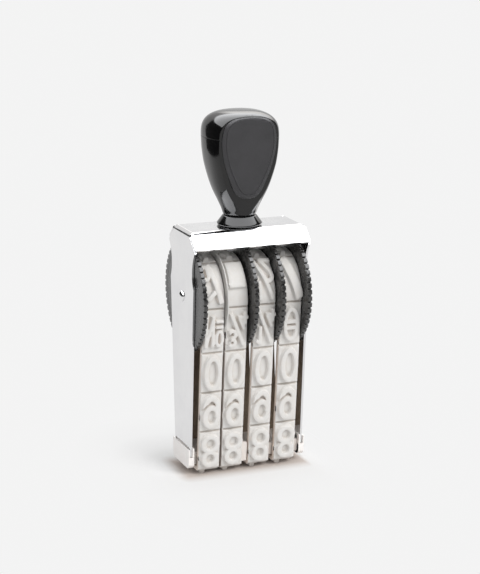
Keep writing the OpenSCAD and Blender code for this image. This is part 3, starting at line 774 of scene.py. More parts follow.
def g6(X, Y):
    return g9(-X, -Y)


def g7(X, Y):
    return np.minimum(np.minimum(seg(X, Y, -4.4, 7.65, 4.4, 7.65, T), seg(X, Y, 3.35, 7.4, -1.9, -4.6, 2.2)), seg(X, Y, -2.3, -4.0, -2.3, -8.8, 2.2))


def g8(X, Y):
    return np.minimum(eggs(X, Y, 0, 4.15, 4.35, 4.35, 2.1, 2.35, -0.2), eggs(X, Y, 0, -3.65, 4.7, 4.75, 2.3, 2.65))


def small(X, Y, f, cx, cy, k):
    return f((X - cx) / k, (Y - cy) / k) * k


def g_number(X, Y):
    d = np.minimum(seg(X, Y, -4.0, -7.6, -4.0, 7.6, 1.5), seg(X, Y, -0.6, -7.6, -0.6, 7.6, 1.5))
    d = np.minimum(d, seg(X, Y, -4.0, 6.9, -0.6, -6.9, 1.5))
    d = np.minimum(d, eggs(X, Y, 2.7, 3.6, 2.3, 4.3, 0.75, 2.9))
    d = np.minimum(d, seg(X, Y, 0.9, -2.2, 4.6, -2.2, 1.25))
    return np.minimum(d, seg(X, Y, 0.9, -5.0, 4.6, -5.0, 1.25))


def fraction(top, bottom, kt=0.48, kb=0.48, pt=(-2.6, 4.2), pb=(2.7, -4.3)):
    def f(X, Y):
        d = seg(X, Y, -3.5, -8.3, 3.5, 8.3, 1.7)
        d = np.minimum(d, small(X, Y, top, pt[0], pt[1], kt))
        return np.minimum(d, small(X, Y, bottom, pb[0], pb[1], kb))
    return f


def thin(fn, by=-0.45):
    return lambda X, Y: fn(X, Y) + by


def g_coin(X, Y):
    a = eggs(X, Y, 0.0, 0.0, 4.1, 8.5, 2.3, 6.6)
    return np.minimum(np.minimum(a, seg(X, Y, -3.0, 1.75, 3.0, 1.75, 1.8)), seg(X, Y, -3.0, -1.35, 3.0, -1.35, 1.8))


def g_and(X, Y):
    d = seg(X, Y, -1.2, -8.6, 3.3, 8.3, 2.5)
    c = cut(oval(X, Y, -3.2, -4.7, 4.4, 7.4, 1.6), (-1, 0.25, 3.6), X=X, Y=Y)
    return np.minimum(np.minimum(d, c), seg(X, Y, 0.4, 3.6, -3.6, 6.8, 1.8))


def g_block(X, Y):
    return np.minimum(seg(X, Y, 0.2, -8.9, 0.2, 2.3, 8.4), seg(X, Y, -4.1, 0.2, -2.6, 1.2, 1.8))


def g_slash(X, Y):
    return seg(X, Y, -2.2, -9.0, 4.0, 9.0, 4.2)


DIGITS = {0: g7, 1: g8, 2: g9, 3: g0, 6: g1, 7: g2, 8: g3, 9: g4, 10: g5, 11: g6}
SIGNS = {4: [g_number, fraction(thin(g3, -0.5), thin(g4, -0.5)), fraction(thin(g1, -0.6), thin(g4, -0.5)), g_coin],
         5: [g_and, g_block, fraction(thin(g1, -0.6), thin(g2, -0.3), 0.42, 0.62, (-3.0, 4.6), (1.9, -3.9)), g_slash]}


def contour(F, xs, ys, level):
    """Closed loops of F = level by marching squares, as lists of (x, y)."""
    ny, nx_ = F.shape
    G = F - level
    G = np.where(np.abs(G) < 1e-7, 1e-7, G)
    segs = {}

    def hpt(i, j):
        t = G[i, j] / (G[i, j] - G[i, j + 1])
        return (xs[j] + t * (xs[j + 1] - xs[j]), ys[i])

    def vpt(i, j):
        t = G[i, j] / (G[i, j] - G[i + 1, j])
        return (xs[j], ys[i] + t * (ys[i + 1] - ys[i]))

    S = G < 0
    mixed = (S[:-1, :-1] != S[1:, :-1]) | (S[:-1, :-1] != S[:-1, 1:]) | (S[:-1, :-1] != S[1:, 1:])
    pts = {}
    links = []
    for i, j in zip(*np.nonzero(mixed)):
        b, r, t, l = ("h", i, j), ("v", i, j + 1), ("h", i + 1, j), ("v", i, j)
        a0, a1, a2, a3 = S[i, j], S[i, j + 1], S[i + 1, j + 1], S[i + 1, j]
        code = a0 + 2 * a1 + 4 * a2 + 8 * a3
        table = {1: [(l, b)], 2: [(b, r)], 3: [(l, r)], 4: [(r, t)], 6: [(b, t)], 7: [(l, t)], 8: [(t, l)], 9: [(t, b)], 11: [(t, r)], 12: [(r, l)], 13: [(r, b)], 14: [(b, l)]}
        if code in (5, 10):
            mid = G[i, j] + G[i, j + 1] + G[i + 1, j] + G[i + 1, j + 1] < 0
            if code == 5:
                prs = [(l, t), (r, b)] if mid else [(l, b), (r, t)]
            else:
                prs = [(b, l), (t, r)] if mid else [(b, r), (t, l)]
        else:
            prs = table[code]
        links += prs
    for p, q_ in links:
        for k in (p, q_):
            if k not in pts:
                pts[k] = hpt(k[1], k[2]) if k[0] == "h" else vpt(k[1], k[2])
        segs.setdefault(p, []).append(q_)
        segs.setdefault(q_, []).append(p)
    loops, used = [], set()
    for s in segs:
        if s in used:
            continue
        lp, prev, cur = [], None, s
        while cur is not None and cur not in used:
            used.add(cur)
            lp.append(pts[cur])
            nx2 = [k for k in segs[cur] if k != prev and k not in used]
            prev, cur = cur, (nx2[0] if nx2 else None)
        if len(lp) > 8:
            loops.append(np.array(lp))
    return loops


def simplify(loop, tol, longest):
    """Douglas-Peucker on a closed loop, then long sides are divided."""
    n = len(loop)
    keep = np.zeros(n, bool)
    c = loop.mean(0)
    a = int(np.argmax(np.sum((loop - c) ** 2, 1)))
    b = int(np.argmax(np.sum((loop - loop[a]) ** 2, 1)))
    keep[[a, b]] = True
    stack = [(a, b), (b, a)]
    while stack:
        i, j = stack.pop()
        idx = np.arange(i + 1, j) if j > i else np.concatenate([np.arange(i + 1, n), np.arange(0, j)])
        if len(idx) == 0:
            continue
        p, q_ = loop[i], loop[j]
        d = q_ - p
        ln = max(np.hypot(*d), 1e-9)
        dist = np.abs((loop[idx][:, 0] - p[0]) * d[1] - (loop[idx][:, 1] - p[1]) * d[0]) / ln
        m_ = int(np.argmax(dist))
        if dist[m_] > tol:
            k = int(idx[m_])
            keep[k] = True
            stack += [(i, k), (k, j)]
    pts = loop[keep]
    out = []
    for i in range(len(pts)):
        p, q_ = pts[i], pts[(i + 1) % len(pts)]
        steps = max(1, int(math.ceil(np.hypot(*(q_ - p)) / longest)))
        for s in range(steps):
            out.append(p + (q_ - p) * s / steps)
    return np.array(out)


# ---------------------------------------------------------------- the bands' path
_dir = np.array([-math.sin(LEAN), math.cos(LEAN)])
_out = np.array([-math.cos(LEAN), -math.sin(LEAN)])
S_A, S_B = 9.55, 10.65


def front_point(a, h):
    """a: path length from the middle of the foot, towards the front; h: distance outwards. Returns y, z."""
    a, h = np.asarray(a, float), np.asarray(h, float)
    y, z = np.zeros_like(a), np.zeros_like(a)
    k = a <= S_A
    y[k], z[k] = -a[k], IN_Z - h[k]
    f = LEG_S0 + LEG_LEN
    k = (a >= S_B) & (a < f)
    y[k] = -FOOT_Y + (a[k] - LEG_S0) * _dir[0] + h[k] * _out[0]
    z[k] = IN_Z + (a[k] - LEG_S0) * _dir[1] + h[k] * _out[1]
    k = a >= f
    t = -LEAN + (a[k] - f) / ARC_MM
    y[k] = -(BAND_R + h[k]) * np.cos(t)
    z[k] = AXLE_Z + (BAND_R + h[k]) * np.sin(t)
    k = (a > S_A) & (a < S_B)
    if k.any():
        t = (a[k] - S_A) / (S_B - S_A)
        hh = h[k]
        p0y, p0z = np.full(len(t), -S_A), IN_Z - hh
        p2y = -FOOT_Y + (S_B - LEG_S0) * _dir[0] + hh * _out[0]
        p2z = IN_Z + (S_B - LEG_S0) * _dir[1] + hh * _out[1]
        cz_ = p0z
        cy_ = p2y - (p2z - cz_) / _dir[1] * _dir[0]
        y[k] = (1 - t) ** 2 * p0y + 2 * t * (1 - t) * cy_ + t * t * p2y
        z[k] = (1 - t) ** 2 * p0z + 2 * t * (1 - t) * cz_ + t * t * p2z
    return y, z


def track(s, h):
    s = np.asarray(s, float)
    s = np.where(s > TOTAL / 2 + 1e-9, s - TOTAL, s)
    back = s < 0
    y, z = front_point(np.abs(s), h)
    return np.where(back, -y, y), z


def loop_line(o, corner):
    """Closed (y, z) line at distance o outside the bands' inner surface."""
    pts = []
    zb = IN_Z - o
    p_leg = np.array([-FOOT_Y, IN_Z]) + o * _out
    yc = p_leg[0] - (p_leg[1] - zb) / _dir[1] * _dir[0]
    c = np.array([yc, zb])
    for i in range(7):
        t = i / 6
        p0, p2 = c + [corner, 0], c + _dir * corner
        pts.append((1 - t) ** 2 * p0 + 2 * t * (1 - t) * c + t * t * p2)
    end = p_leg + _dir * LEG_LEN
    for i in range(1, 20):
        pts.append(p_leg + (end - p_leg) * i / 20)
    for a in np.linspace(-LEAN, math.pi / 2, 48):
        pts.append(np.array([-(BAND_R + o) * math.cos(a), AXLE_Z + (BAND_R + o) * math.sin(a)]))
    pts = np.array(pts)
    back = (pts * [-1, 1])[::-1][1:]
    return np.concatenate([pts, back])


GRID_X = np.linspace(-BH + 0.15, BH - 0.15, 71)
INNER = loop_line(LINING, 0.9)
X_LAT = [BH, BH - 0.12, BH - 0.35, BH - 0.65, BH - 1.1]


def side_fall(dx):
    return np.interp(dx, [0, 0.12, 0.35, 0.65], [-0.42, -0.2, -0.06, 0])


def end_fall(ds):
    return np.interp(ds, [0, 0.28, 0.38, 0.52, 0.75, 1.05], [-0.95, -0.95, -0.62, -0.22, -0.05, 0])


def cell_flat(fn, length):
    """Triangles of one cell in (x, t), t from -length/2 (towards the glyph's head) to length/2, with heights."""
    half = length / 2
    gy = np.arange(-half + 0.2, half - 0.19, 0.15)
    X, Y = np.meshgrid(GRID_X, gy)
    F = fn(X, -Y)
    levels = [-0.13, 0.02, 0.38, 0.52]
    rel = [1.0, 0.93, 0.05, 0.0]
    loops, lvl = [], []
    for lv, rl in zip(levels, rel):
        for lp in contour(F, GRID_X, gy, lv):
            lp = simplify(lp, 0.012, 1.3)
            if len(lp) >= 4:
                loops.append(lp)
                lvl.append(rl)
    xs = sorted({-x for x in X_LAT} | {x for x in X_LAT} | {-3.6, -2.4, -1.2, 0.0, 1.2, 2.4, 3.6})
    ends = [0, 0.28, 0.38, 0.52, 0.75, 1.05]
    ys = sorted({-half + e for e in ends} | {half - e for e in ends} | set(np.linspace(-half + 1.05, half - 1.05, int(round(length / 1.1)) + 1)))
    lat = []
    for x in xs:
        for y in ys:
            edge = abs(abs(x) - BH) < 1e-6 or abs(abs(y) - half) < 1e-6
            d = float(fn(np.array([x]), np.array([-y]))[0])
            if edge or not -0.42 < d < 0.78 or (abs(x) > BH - 0.4 and d > 0.56):
                lat.append((x, y))
    rim = [(x, -half) for x in xs] + [(xs[-1], y) for y in ys[1:]] + [(x, half) for x in xs[::-1][1:]] + [(xs[0], y) for y in ys[::-1][1:-1]]
    lat = [p for p in lat if not (abs(abs(p[0]) - BH) < 1e-6 or abs(abs(p[1]) - half) < 1e-6)]
    lines_ = [list(lp) + [lp[0]] for lp in loops]
    v, t, _ = triangulate([np.array(rim)], lat, lines_)
    d = fn(v[:, 0], -v[:, 1])
    r = np.interp(d, levels, rel)
    plateau = BAND_T + np.minimum(side_fall(BH - np.abs(v[:, 0])), end_fall(half - np.abs(v[:, 1])))
    h = plateau + RELIEF * r
    return v, t, h, ys


def band_mesh(b):
    verts, faces = [], []
    rail = {-1: [], 1: []}
    for k in range(12):
        fn = DIGITS[k] if k in DIGITS else SIGNS[k][b]
        v, t, h, ys = cell_flat(fn, CELL_LEN[k])
        s = CELL_S[k] + CELL_LEN[k] / 2 + v[:, 1]
        y, z = track(s, h)
        base = len(verts)
        verts += [(BAND_X[b] + px, py, pz) for px, py, pz in zip(v[:, 0], y, z)]
        faces += [(base + q_[0], base + q_[1], base + q_[2]) for q_ in t]
        for sd in (-1, 1):
            on = np.nonzero(np.abs(v[:, 0] - sd * BH) < 1e-6)[0]
            on = on[np.argsort(v[on, 1])]
            rail[sd] += [(s[i], y[i], z[i]) for i in on[:-1]]
    for sd in (-1, 1):
        x = BAND_X[b] + sd * BH
        outer_l = np.array([(p[1], p[2]) for p in rail[sd]])
        if area(outer_l) < 0:
            outer_l = outer_l[::-1]
        inner = INNER if area(INNER) < 0 else INNER[::-1]
        v, t, _ = triangulate([outer_l, inner])
        base = len(verts)
        verts += [(x, p[0], p[1]) for p in v]
        faces += [(base + a, base + b2, base + c) for a, b2, c in t]
    base = len(verts)
    n_ = len(INNER)
    verts += [(BAND_X[b] - BH, p[0], p[1]) for p in INNER] + [(BAND_X[b] + BH, p[0], p[1]) for p in INNER]
    faces += [(base + i, base + (i + 1) % n_, base + n_ + (i + 1) % n_, base + n_ + i) for i in range(n_)]
    return verts, faces


for b in range(4):
    v, f = band_mesh(b)
    make_object(f"rubber_band_{b + 1}", v, f, M_RUBBER, "stamp", [f"number_band_{b + 1}"], sharp=58, weld=0.003, flat_sides=True)
    a_, b_ = loop_line(LINING - 0.01, 0.9), loop_line(0.0, 0.6)
    a_ = a_ if area(a_) > 0 else a_[::-1]
    b_ = b_[::-1] if area(b_) > 0 else b_
    v, f = prism_x([a_, b_], BAND_X[b] - BH - 0.06, BAND_X[b] + BH + 0.06, 0.06)
    make_object(f"woven_lining_{b + 1}", v, f, M_LINING, "stamp", [f"band_lining_{b + 1}"], sharp=50)


# ---------------------------------------------------------------- grip
SEAM, GRIP_H = 43.0, 55.4
TAB = np.array([[5, 7.3], [5.5, 7.9], [8, 8.8], [11.7, 10.4], [16.5, 12.6], [20, 13.9], [23.8, 15], [27.5, 15.9], [31, 16.6], [34.5, 17.1], [38.3, 17.5], [43, 17.7]])


def smooth_table(tab_, h):
    """Monotone cubic through a table."""
    x, y = tab_[:, 0], tab_[:, 1]
    d = np.diff(y) / np.diff(x)
    mm = np.zeros(len(x))
    mm[1:-1] = np.where(d[:-1] * d[1:] > 0, 2 * d[:-1] * d[1:] / np.where(d[:-1] + d[1:] == 0, 1, d[:-1] + d[1:]), 0)
    mm[0], mm[-1] = d[0], d[-1]
    i = int(np.clip(np.searchsorted(x, h) - 1, 0, len(x) - 2))
    w = x[i + 1] - x[i]
    t = min(max((h - x[i]) / w, 0), 1)
    return (y[i] * (2 * t ** 3 - 3 * t ** 2 + 1) + y[i + 1] * (3 * t ** 2 - 2 * t ** 3) + w * (mm[i] * (t ** 3 - 2 * t ** 2 + t) + mm[i + 1] * (t ** 3 - t ** 2)))


def grip_r(h):
    if h <= SEAM:
        return smooth_table(TAB, h)
    t = min((h - SEAM) / (GRIP_H - SEAM), 1.0)
    return 17.7 * max(1 - t ** 3, 0.0) ** (1 / 3)


def grip_n(h):
    return 2 + 0.6 * min(1, max(0, (h - 8) / 22))


def face_y(h):
    return min(8.1 + 0.145 * (h - 6.5), 10.6 + 0.05 * (h - 16.5))


def grip_ring(h, r=None, f=None, n=None, na=16, nf=7, soft=0.45, z=None):
    """Ring of the grip's section: a rounded square cut flat at front and back, with softened cut edges."""
    r = grip_r(h) if r is None else r
    f = face_y(h) if f is None else f
    n = grip_n(h) if n is None else n
    f = min(f, r * 0.99995)
    ph = math.asin(min((f / r) ** (n / 2), 1.0))
    xc = r * max(math.cos(ph), 0) ** (2 / n)
    s = min(soft, 0.35 * xc)
    # arc from the side to the cut
    arc = []
    for i in range(na + 1):
        p = ph * (1 - (1 - i / na) ** 1.15)
        arc.append((r * math.cos(p) ** (2 / n), r * math.sin(p) ** (2 / n)))
    arc = np.array(arc)
    d = arc[-1] - arc[-2]
    dl = max(np.hypot(*d), 1e-6)
    arc[-1] = arc[-1] - d / dl * min(s, dl * 0.8)
    corner = np.array([xc, f])
    mid = corner * 0.5 + 0.25 * (arc[-1] + np.array([xc - s, f]))
    flat_ = [np.array([(xc - s) * (1 - j / nf), f]) for j in range(nf + 1)]
    quad = list(arc) + [mid] + flat_
    quad = [np.array(q_) for q_ in quad]
    q1 = quad
    q2 = [q_ * [-1, 1] for q_ in quad[::-1][1:]]
    q3 = [q_ * [-1, -1] for q_ in quad[1:]]
    q4 = [q_ * [1, -1] for q_ in quad[::-1][1:-1]]
    ring = np.array(q1 + q2 + q3 + q4)
    zz = TOP + (h if z is None else z)
    return np.concatenate([ring, np.full((len(ring), 1), zz)], 1)


def shrink(ring, d, z):
    c = ring.copy()
    rr = np.hypot(c[:, 0], c[:, 1])
    c[:, :2] *= np.maximum(1 - d / np.maximum(rr, 1e-6), 0)[:, None]
    c[:, 2] = TOP + z
    return c


levels = [5.05, 5.25, 5.5, 5.9, 6.4, 7, 7.6, 8.3, 9.2, 10.2, 11.3, 12.5, 13.8, 15.2, 16.6, 18, 19.6, 21.4, 23.4, 25.6, 28, 30.5, 33, 35.5, 38, 40.2, 41.8, 42.6]
rings = [grip_ring(h) for h in levels]
rings.append(grip_ring(SEAM - 0.2))
rings.append(shrink(grip_ring(SEAM), 0.04, SEAM - 0.12))
rings.append(shrink(grip_ring(SEAM), 0.16, SEAM - 0.03))
rings.append(shrink(grip_ring(SEAM), 2.2, SEAM - 0.03))
for h in (38, 31, 24, 19):
    rings.append(shrink(grip_ring(h), 2.3, h))
nr = len(rings[0])
aa = np.linspace(0, 2 * math.pi, nr, endpoint=False)
ang = np.unwrap(np.arctan2(rings[0][:, 1], rings[0][:, 0]))
for rad, hh in ((6.5, 17.5), (3.5, 17.3), (3.5, 5.05)):
    rings.append(np.stack([rad * np.cos(ang), rad * np.sin(ang), np.full(nr, TOP + hh)], 1))
v, f = tube_rings(rings, True)
make_object("grip_shell", v, f, M_GRIP, "stamp", ["handle_body"], sharp=30)

rings = []
for h in (0.03, 0.12, 0.28):
    rings.append(shrink(grip_ring(SEAM + 0.02), {0.03: 0.16, 0.12: 0.04, 0.28: 0.0}[h], SEAM + h))
for t in (0.08, 0.16, 0.24, 0.32, 0.40, 0.48, 0.55, 0.62, 0.68, 0.74, 0.79, 0.84, 0.88, 0.915, 0.94, 0.96, 0.975, 0.988, 0.996, 0.9995):
    h = SEAM + (GRIP_H - SEAM) * t
    rings.append(grip_ring(h, n=2.6 - 0.4 * t ** 4))
v1, f1 = tube_rings(rings, False)
top_c = len(v1)
v1.append((0, 0, TOP + GRIP_H))
nr = len(rings[0])
b0 = (len(rings) - 1) * nr
f1 += [(b0 + i, b0 + (i + 1) % nr, top_c) for i in range(nr)]
inner = []
for t in (0.0, 0.3, 0.6, 0.8, 0.93):
    inner.append(shrink(grip_ring(SEAM + 0.02), 2.2 + 13 * t ** 5, SEAM + 0.03 + (GRIP_H - SEAM - 2.2) * t))
v2, f2 = tube_rings(inner, False)
base = len(v1)
v1 += v2
f1 += [tuple(base + i for i in q_) for q_ in f2]
c2 = len(v1)
v1.append((0, 0, TOP + GRIP_H - 2.2))
f1 += [(base + (len(inner) - 1) * nr + (i + 1) % nr, base + (len(inner) - 1) * nr + i, c2) for i in range(nr)]
f1 += [(i, (i + 1) % nr, base + (i + 1) % nr, base + i) for i in range(nr)]
make_object("grip_cap", v1, f1, M_GRIP, "stamp", ["handle_cap"], sharp=30)

v, f = revolve_z([(2.7, 0.02), (9.7, 0.02), (10.15, 0.1), (10.6, 0.45), (10.85, 0.85), (10.9, 1.1), (10.8, 1.35), (10.45, 1.8), (8.35, 4.6), (8.1, 4.85), (7.75, 5.0), (2.7, 5.0)], 128, TOP)
make_object("grip_collar", v, f, M_GRIP, "stamp", ["handle_neck"], sharp=32)

# panels: raised teardrops with a sloping rim
P_OUT = np.array([[14.3, 0.8], [14.55, 2.2], [15.0, 3.4], [15.9, 4.9], [17, 6.1], [19.3, 7.6], [22, 8.8], [26.6, 10.6], [30, 11.75], [33, 12.6], [36, 13.2], [39, 13.6], [42, 13.75], [45, 13.5], [48.3, 12.7], [50.3, 11.5], [52, 9.4], [52.9, 7.0], [53.3, 4.6], [53.5, 1.5]])
P_IN = np.array([[16.4, 0.8], [16.6, 1.8], [17.1, 2.8], [17.9, 3.8], [18.9, 4.6], [21.2, 5.9], [24, 7.3], [28, 9.0], [31, 10.1], [33.8, 10.9], [36.5, 11.5], [39, 11.85], [42, 12.0], [44.8, 11.8], [47.8, 11.2], [49.7, 10.2], [51.2, 8.5], [52.1, 6.4], [52.5, 4.2], [52.7, 1.4]])


def dense_outline(tab_, per=4):
    """Closed smooth outline through a table of (height, half width)."""
    right_ = [np.array([q_[1], q_[0]]) for q_ in tab_]
    pts = right_ + [p * [-1, 1] for p in right_[::-1]]
    n_ = len(pts)
    out = []
    for i in range(n_):
        p0, p1, p2, p3 = pts[i - 1], pts[i], pts[(i + 1) % n_], pts[(i + 2) % n_]
        for s_ in range(per):
            t = s_ / per
            out.append(0.5 * ((2 * p1) + (-p0 + p2) * t + (2 * p0 - 5 * p1 + 4 * p2 - p3) * t * t + (-p0 + 3 * p1 - 3 * p2 + p3) * t ** 3))
    return np.array(out)


def panel_y(h):
    return 11.35 + 0.06 * (h - 16.5)


def panel_mesh(side):
    O, I = dense_outline(P_OUT), dense_outline(P_IN)
    c = np.array([0, 36.0])
    def lift(p, e):
        drop = np.maximum(p[:, 1] - 50.6, 0) ** 2 * 0.10
        return [(q_[0], side * (panel_y(q_[1]) + e - dr), TOP + q_[1]) for q_, dr in zip(p, drop)]
    rows_ = [lift(offset(O, 0.25), -2.2), lift(offset(O, 0.02), -1.9), lift(O, -0.62), lift(offset(O, 0.06), -0.5), lift(offset(O, 0.18), -0.4),
             lift(offset(I, -0.30), 0.24), lift(offset(I, -0.12), 0.3), lift(offset(I, -0.02), 0.14), lift(offset(I, 0.06), 0.14), lift(offset(I, 0.16), 0.33), lift(offset(I, 0.4), 0.38)]
    n_ = len(O)
    verts = [p for r in rows_ for p in r]
    faces = []
    for j in range(len(rows_) - 1):
        faces += [(j * n_ + i, j * n_ + (i + 1) % n_, (j + 1) * n_ + (i + 1) % n_, (j + 1) * n_ + i) for i in range(n_)]
    cap = offset(I, 0.4)
    v_, t_, _ = triangulate([cap if area(cap) > 0 else cap[::-1]], points=[(x, h) for x in np.arange(-10, 10.1, 2.5) for h in np.arange(18, 52, 2.5) if abs(x) < np.interp(h, P_IN[:, 0], P_IN[:, 1]) - 1.2])
    b_ = len(verts)
    verts += lift(v_, 0.38)
    faces += [(b_ + a, b_ + b2, b_ + c_) for a, b2, c_ in t_]
    under = offset(O, 0.25)
    v_, t_, _ = triangulate([under if area(under) > 0 else under[::-1]])
    b_ = len(verts)
    verts += lift(v_, -2.2)
    faces += [(b_ + a, b_ + c_, b_ + b2) for a, b2, c_ in t_]
    return verts, faces


for side, nm in ((-1, "front_panel"), (1, "back_panel")):
    v, f = panel_mesh(side)
    make_object("inlaid_" + nm, v, f, M_PANEL, "stamp", [nm], sharp=26, weighted=True)

# ---------------------------------------------------------------- floor
def floor_mat():
    m, nt, sh = node_mat("pale_floor")
    v = coords(nt)
    g = noise(nt, v, 30.0, 3.0)
    sh.inputs["Roughness"].default_value = 0.9
    sh.inputs["Specular IOR Level"].default_value = 0.0
    em = N(nt, "ShaderNodeEmission")
    em.inputs["Color"].default_value = (0.9, 0.9, 0.9, 1)
    em.inputs["Strength"].default_value = 1.0
    path = N(nt, "ShaderNodeLightPath")
    nt.links.new(mixc(nt, path.outputs["Is Glossy Ray"], (0.9, 0.9, 0.9), (0.83, 0.825, 0.825)), em.inputs["Color"])
    sep = N(nt, "ShaderNodeSeparateXYZ")
    nt.links.new(v, sep.inputs[0])
    ox = maprange(nt, mathn(nt, "ABSOLUTE", sep.outputs["X"]), 0.0305, 1.0305, 0.0, 1.0)
    oy = maprange(nt, mathn(nt, "ABSOLUTE", sep.outputs["Y"]), 0.0115, 1.0115, 0.0, 0.7)
    ox = mathn(nt, "MULTIPLY", ox, maprange(nt, sep.outputs["X"], 0.0, 0.01, 1.0, 2.4))
    away = mathn(nt, "SQRT", mathn(nt, "ADD", mathn(nt, "MULTIPLY", ox, ox), mathn(nt, "MULTIPLY", oy, oy)))
    grey = ramp(nt, g, [(0.3, (0.805, 0.805, 0.805)), (0.7, (0.815, 0.815, 0.815))])
    # Painted contact shadow: close to the foot the floor's base colour is painted a brownish shade (0.60, 0.545, 0.51).
    nt.links.new(mixc(nt, maprange(nt, away, 0.0, 0.006, 0.0, 1.0), (0.60, 0.545, 0.51), grey), sh.inputs["Base Color"])
    fac = ramp(nt, maprange(nt, away, 0.0, 0.05, 0.0, 1.0), [(0.0, (0.0, 0.0, 0.0)), (0.12, (0.3, 0.3, 0.3)), (0.3, (0.66, 0.66, 0.66)), (0.6, (0.93, 0.93, 0.93)), (1.0, (1, 1, 1))])
    mx = N(nt, "ShaderNodeMixShader")
    out = [n_ for n_ in nt.nodes if n_.type == "OUTPUT_MATERIAL"][0]
    nt.links.new(fac, mx.inputs[0])
    nt.links.new(sh.outputs["BSDF"], mx.inputs[1])
    nt.links.new(em.outputs[0], mx.inputs[2])
    nt.links.new(mx.outputs[0], out.inputs["Surface"])
    return m


me = bpy.data.meshes.new("floor")
nseg = 96
rr = [0.0, 0.15, 0.4, 1.0, 3.0, 12.0]
fv_, ff_ = [(0, 0, 0)], []
for r_ in rr[1:]:
    fv_ += [(r_ * math.cos(2 * math.pi * i / nseg), r_ * math.sin(2 * math.pi * i / nseg), 0) for i in range(nseg)]
ff_ += [(0, 1 + i, 1 + (i + 1) % nseg) for i in range(nseg)]
for j in range(len(rr) - 2):
    a0, b0 = 1 + j * nseg, 1 + (j + 1) * nseg
    ff_ += [(a0 + i, b0 + i, b0 + (i + 1) % nseg, a0 + (i + 1) % nseg) for i in range(nseg)]
me.from_pydata(fv_, [], ff_)
me.materials.append(floor_mat())
floor = bpy.data.objects.new("floor", me)
bpy.context.scene.collection.objects.link(floor)

# ---------------------------------------------------------------- light
scene = bpy.context.scene
world = bpy.data.worlds.new("studio")
scene.world = world
world.use_nodes = True
nt = world.node_tree
nt.nodes.clear()
wo = N(nt, "ShaderNodeOutputWorld")
tc = N(nt, "ShaderNodeTexCoord")
sp = N(nt, "ShaderNodeSeparateXYZ")
nt.links.new(tc.outputs["Generated"], sp.inputs[0])
gx, gy, gz = sp.outputs[0], sp.outputs[1], sp.outputs[2]
# what shiny parts see: a pale backdrop behind, dark above it, a broad softbox overhead
behind = maprange(nt, mathn(nt, "ADD", mathn(nt, "MULTIPLY", gx, 0.37), mathn(nt, "MULTIPLY", gy, 0.93)), 0.60, 0.72, 0.0, 1.0)
right_ = maprange(nt, gx, 0.18, 0.3, 0.0, 1.0)
plain = ramp(nt, gz, [(0.0, (0.83, 0.83, 0.83)), (0.38, (0.78, 0.77, 0.765)), (0.50, (0.95, 0.94, 0.935))])
hot = ramp(nt, gz, [(0.0, (0.83, 0.83, 0.83)), (0.26, (0.85, 0.85, 0.85)), (0.33, (2.3, 2.23, 2.18)), (0.50, (3.4, 3.35, 3.3)), (0.57, (4.5, 4.5, 4.55))])
wall = mixc(nt, right_, plain, hot)
low = mixc(nt, behind, (0.035, 0.035, 0.036), wall)
env = mixc(nt, maprange(nt, gz, 0.50, 0.56, 0.0, 1.0), low, (4.6, 4.65, 4.75))
bg1 = N(nt, "ShaderNodeBackground")
nt.links.new(env, bg1.inputs["Color"])
# what lights matt parts
bg3 = N(nt, "ShaderNodeBackground")
soft = ramp(nt, gz, [(0.0, (0.55, 0.55, 0.55)), (0.35, (0.62, 0.62, 0.62)), (0.8, (0.78, 0.78, 0.78))])
nt.links.new(soft, bg3.inputs["Color"])
bg2 = N(nt, "ShaderNodeBackground")
bg2.inputs["Color"].default_value = (0.9, 0.9, 0.9, 1)
lp = N(nt, "ShaderNodeLightPath")
m1 = N(nt, "ShaderNodeMixShader")
nt.links.new(lp.outputs["Is Glossy Ray"], m1.inputs[0])
nt.links.new(bg3.outputs[0], m1.inputs[1])
nt.links.new(bg1.outputs[0], m1.inputs[2])
mx = N(nt, "ShaderNodeMixShader")
nt.links.new(lp.outputs["Is Camera Ray"], mx.inputs[0])
nt.links.new(m1.outputs[0], mx.inputs[1])
nt.links.new(bg2.outputs[0], mx.inputs[2])
nt.links.new(mx.outputs[0], wo.inputs["Surface"])


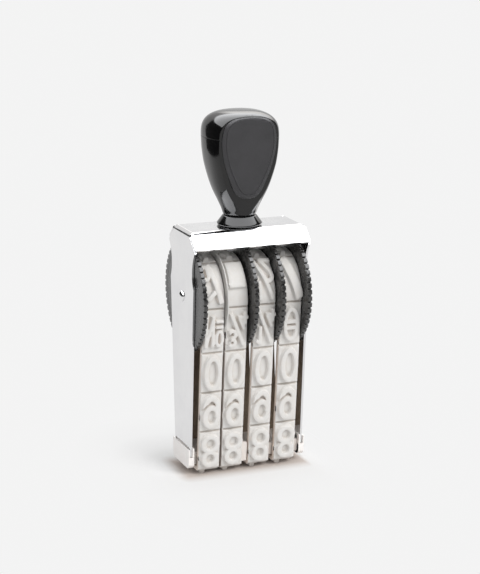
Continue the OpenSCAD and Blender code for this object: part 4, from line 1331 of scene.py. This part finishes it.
def area_light(name, pos, target, size, power, glossy=True, color=(1, 1, 1)):
    ld = bpy.data.lights.new(name, "AREA")
    ld.shape = "RECTANGLE"
    ld.size, ld.size_y = size
    ld.energy = power
    ld.color = color
    ob = bpy.data.objects.new(name, ld)
    scene.collection.objects.link(ob)
    ob.location = pos
    ob.rotation_mode = "QUATERNION"
    ob.rotation_quaternion = (Vector(target) - Vector(pos)).to_track_quat("-Z", "Y")
    ob.visible_glossy = glossy
    return ob


area_light("key", (1.49, -2.58, 2.68), (0, 0, 0.07), (1.9, 1.9), 92.0, glossy=False, color=(1, 0.99, 0.975))

# a dark card to the back left, seen only in reflections
me = bpy.data.meshes.new("dark_card")
c0, c1 = (-0.162, 0.345), (-0.42, -0.38)
me.from_pydata([(c0[0], c0[1], 0.072), (c1[0], c1[1], 0.05), (c1[0], c1[1], 0.36), (c0[0], c0[1], 0.36)], [], [(0, 1, 2, 3)])
me.materials.append(speckle_mat("dark_card_felt", (0.01, 0.01, 0.01), (0.014, 0.014, 0.014), 50.0, 900.0, (0.8, 0.9), 0.0, 0.2, 0.0002))
card = bpy.data.objects.new("dark_card", me)
scene.collection.objects.link(card)
card.visible_camera = card.visible_diffuse = card.visible_shadow = card.visible_transmission = False

# ---------------------------------------------------------------- camera
R_ = Vector((0.92757689, -0.37361223, 0.0038743)).normalized()
U_ = Vector((0.08830669, 0.22929328, 0.96934334))
bk = R_.cross(U_).normalized()
U_ = bk.cross(R_).normalized()
pos = Vector((-291.152, -721.846, 286.809)) * MM
cd = bpy.data.cameras.new("camera")
cd.sensor_width = 36.0
cd.lens = 1655.389 * 36.0 / 574.0
cd.clip_start, cd.clip_end = 0.01, 50.0
cam = bpy.data.objects.new("camera", cd)
scene.collection.objects.link(cam)
cam.matrix_world = Matrix(((R_.x, U_.x, bk.x, pos.x), (R_.y, U_.y, bk.y, pos.y), (R_.z, U_.z, bk.z, pos.z), (0, 0, 0, 1)))
scene.camera = cam
scene.view_settings.view_transform = "Standard"
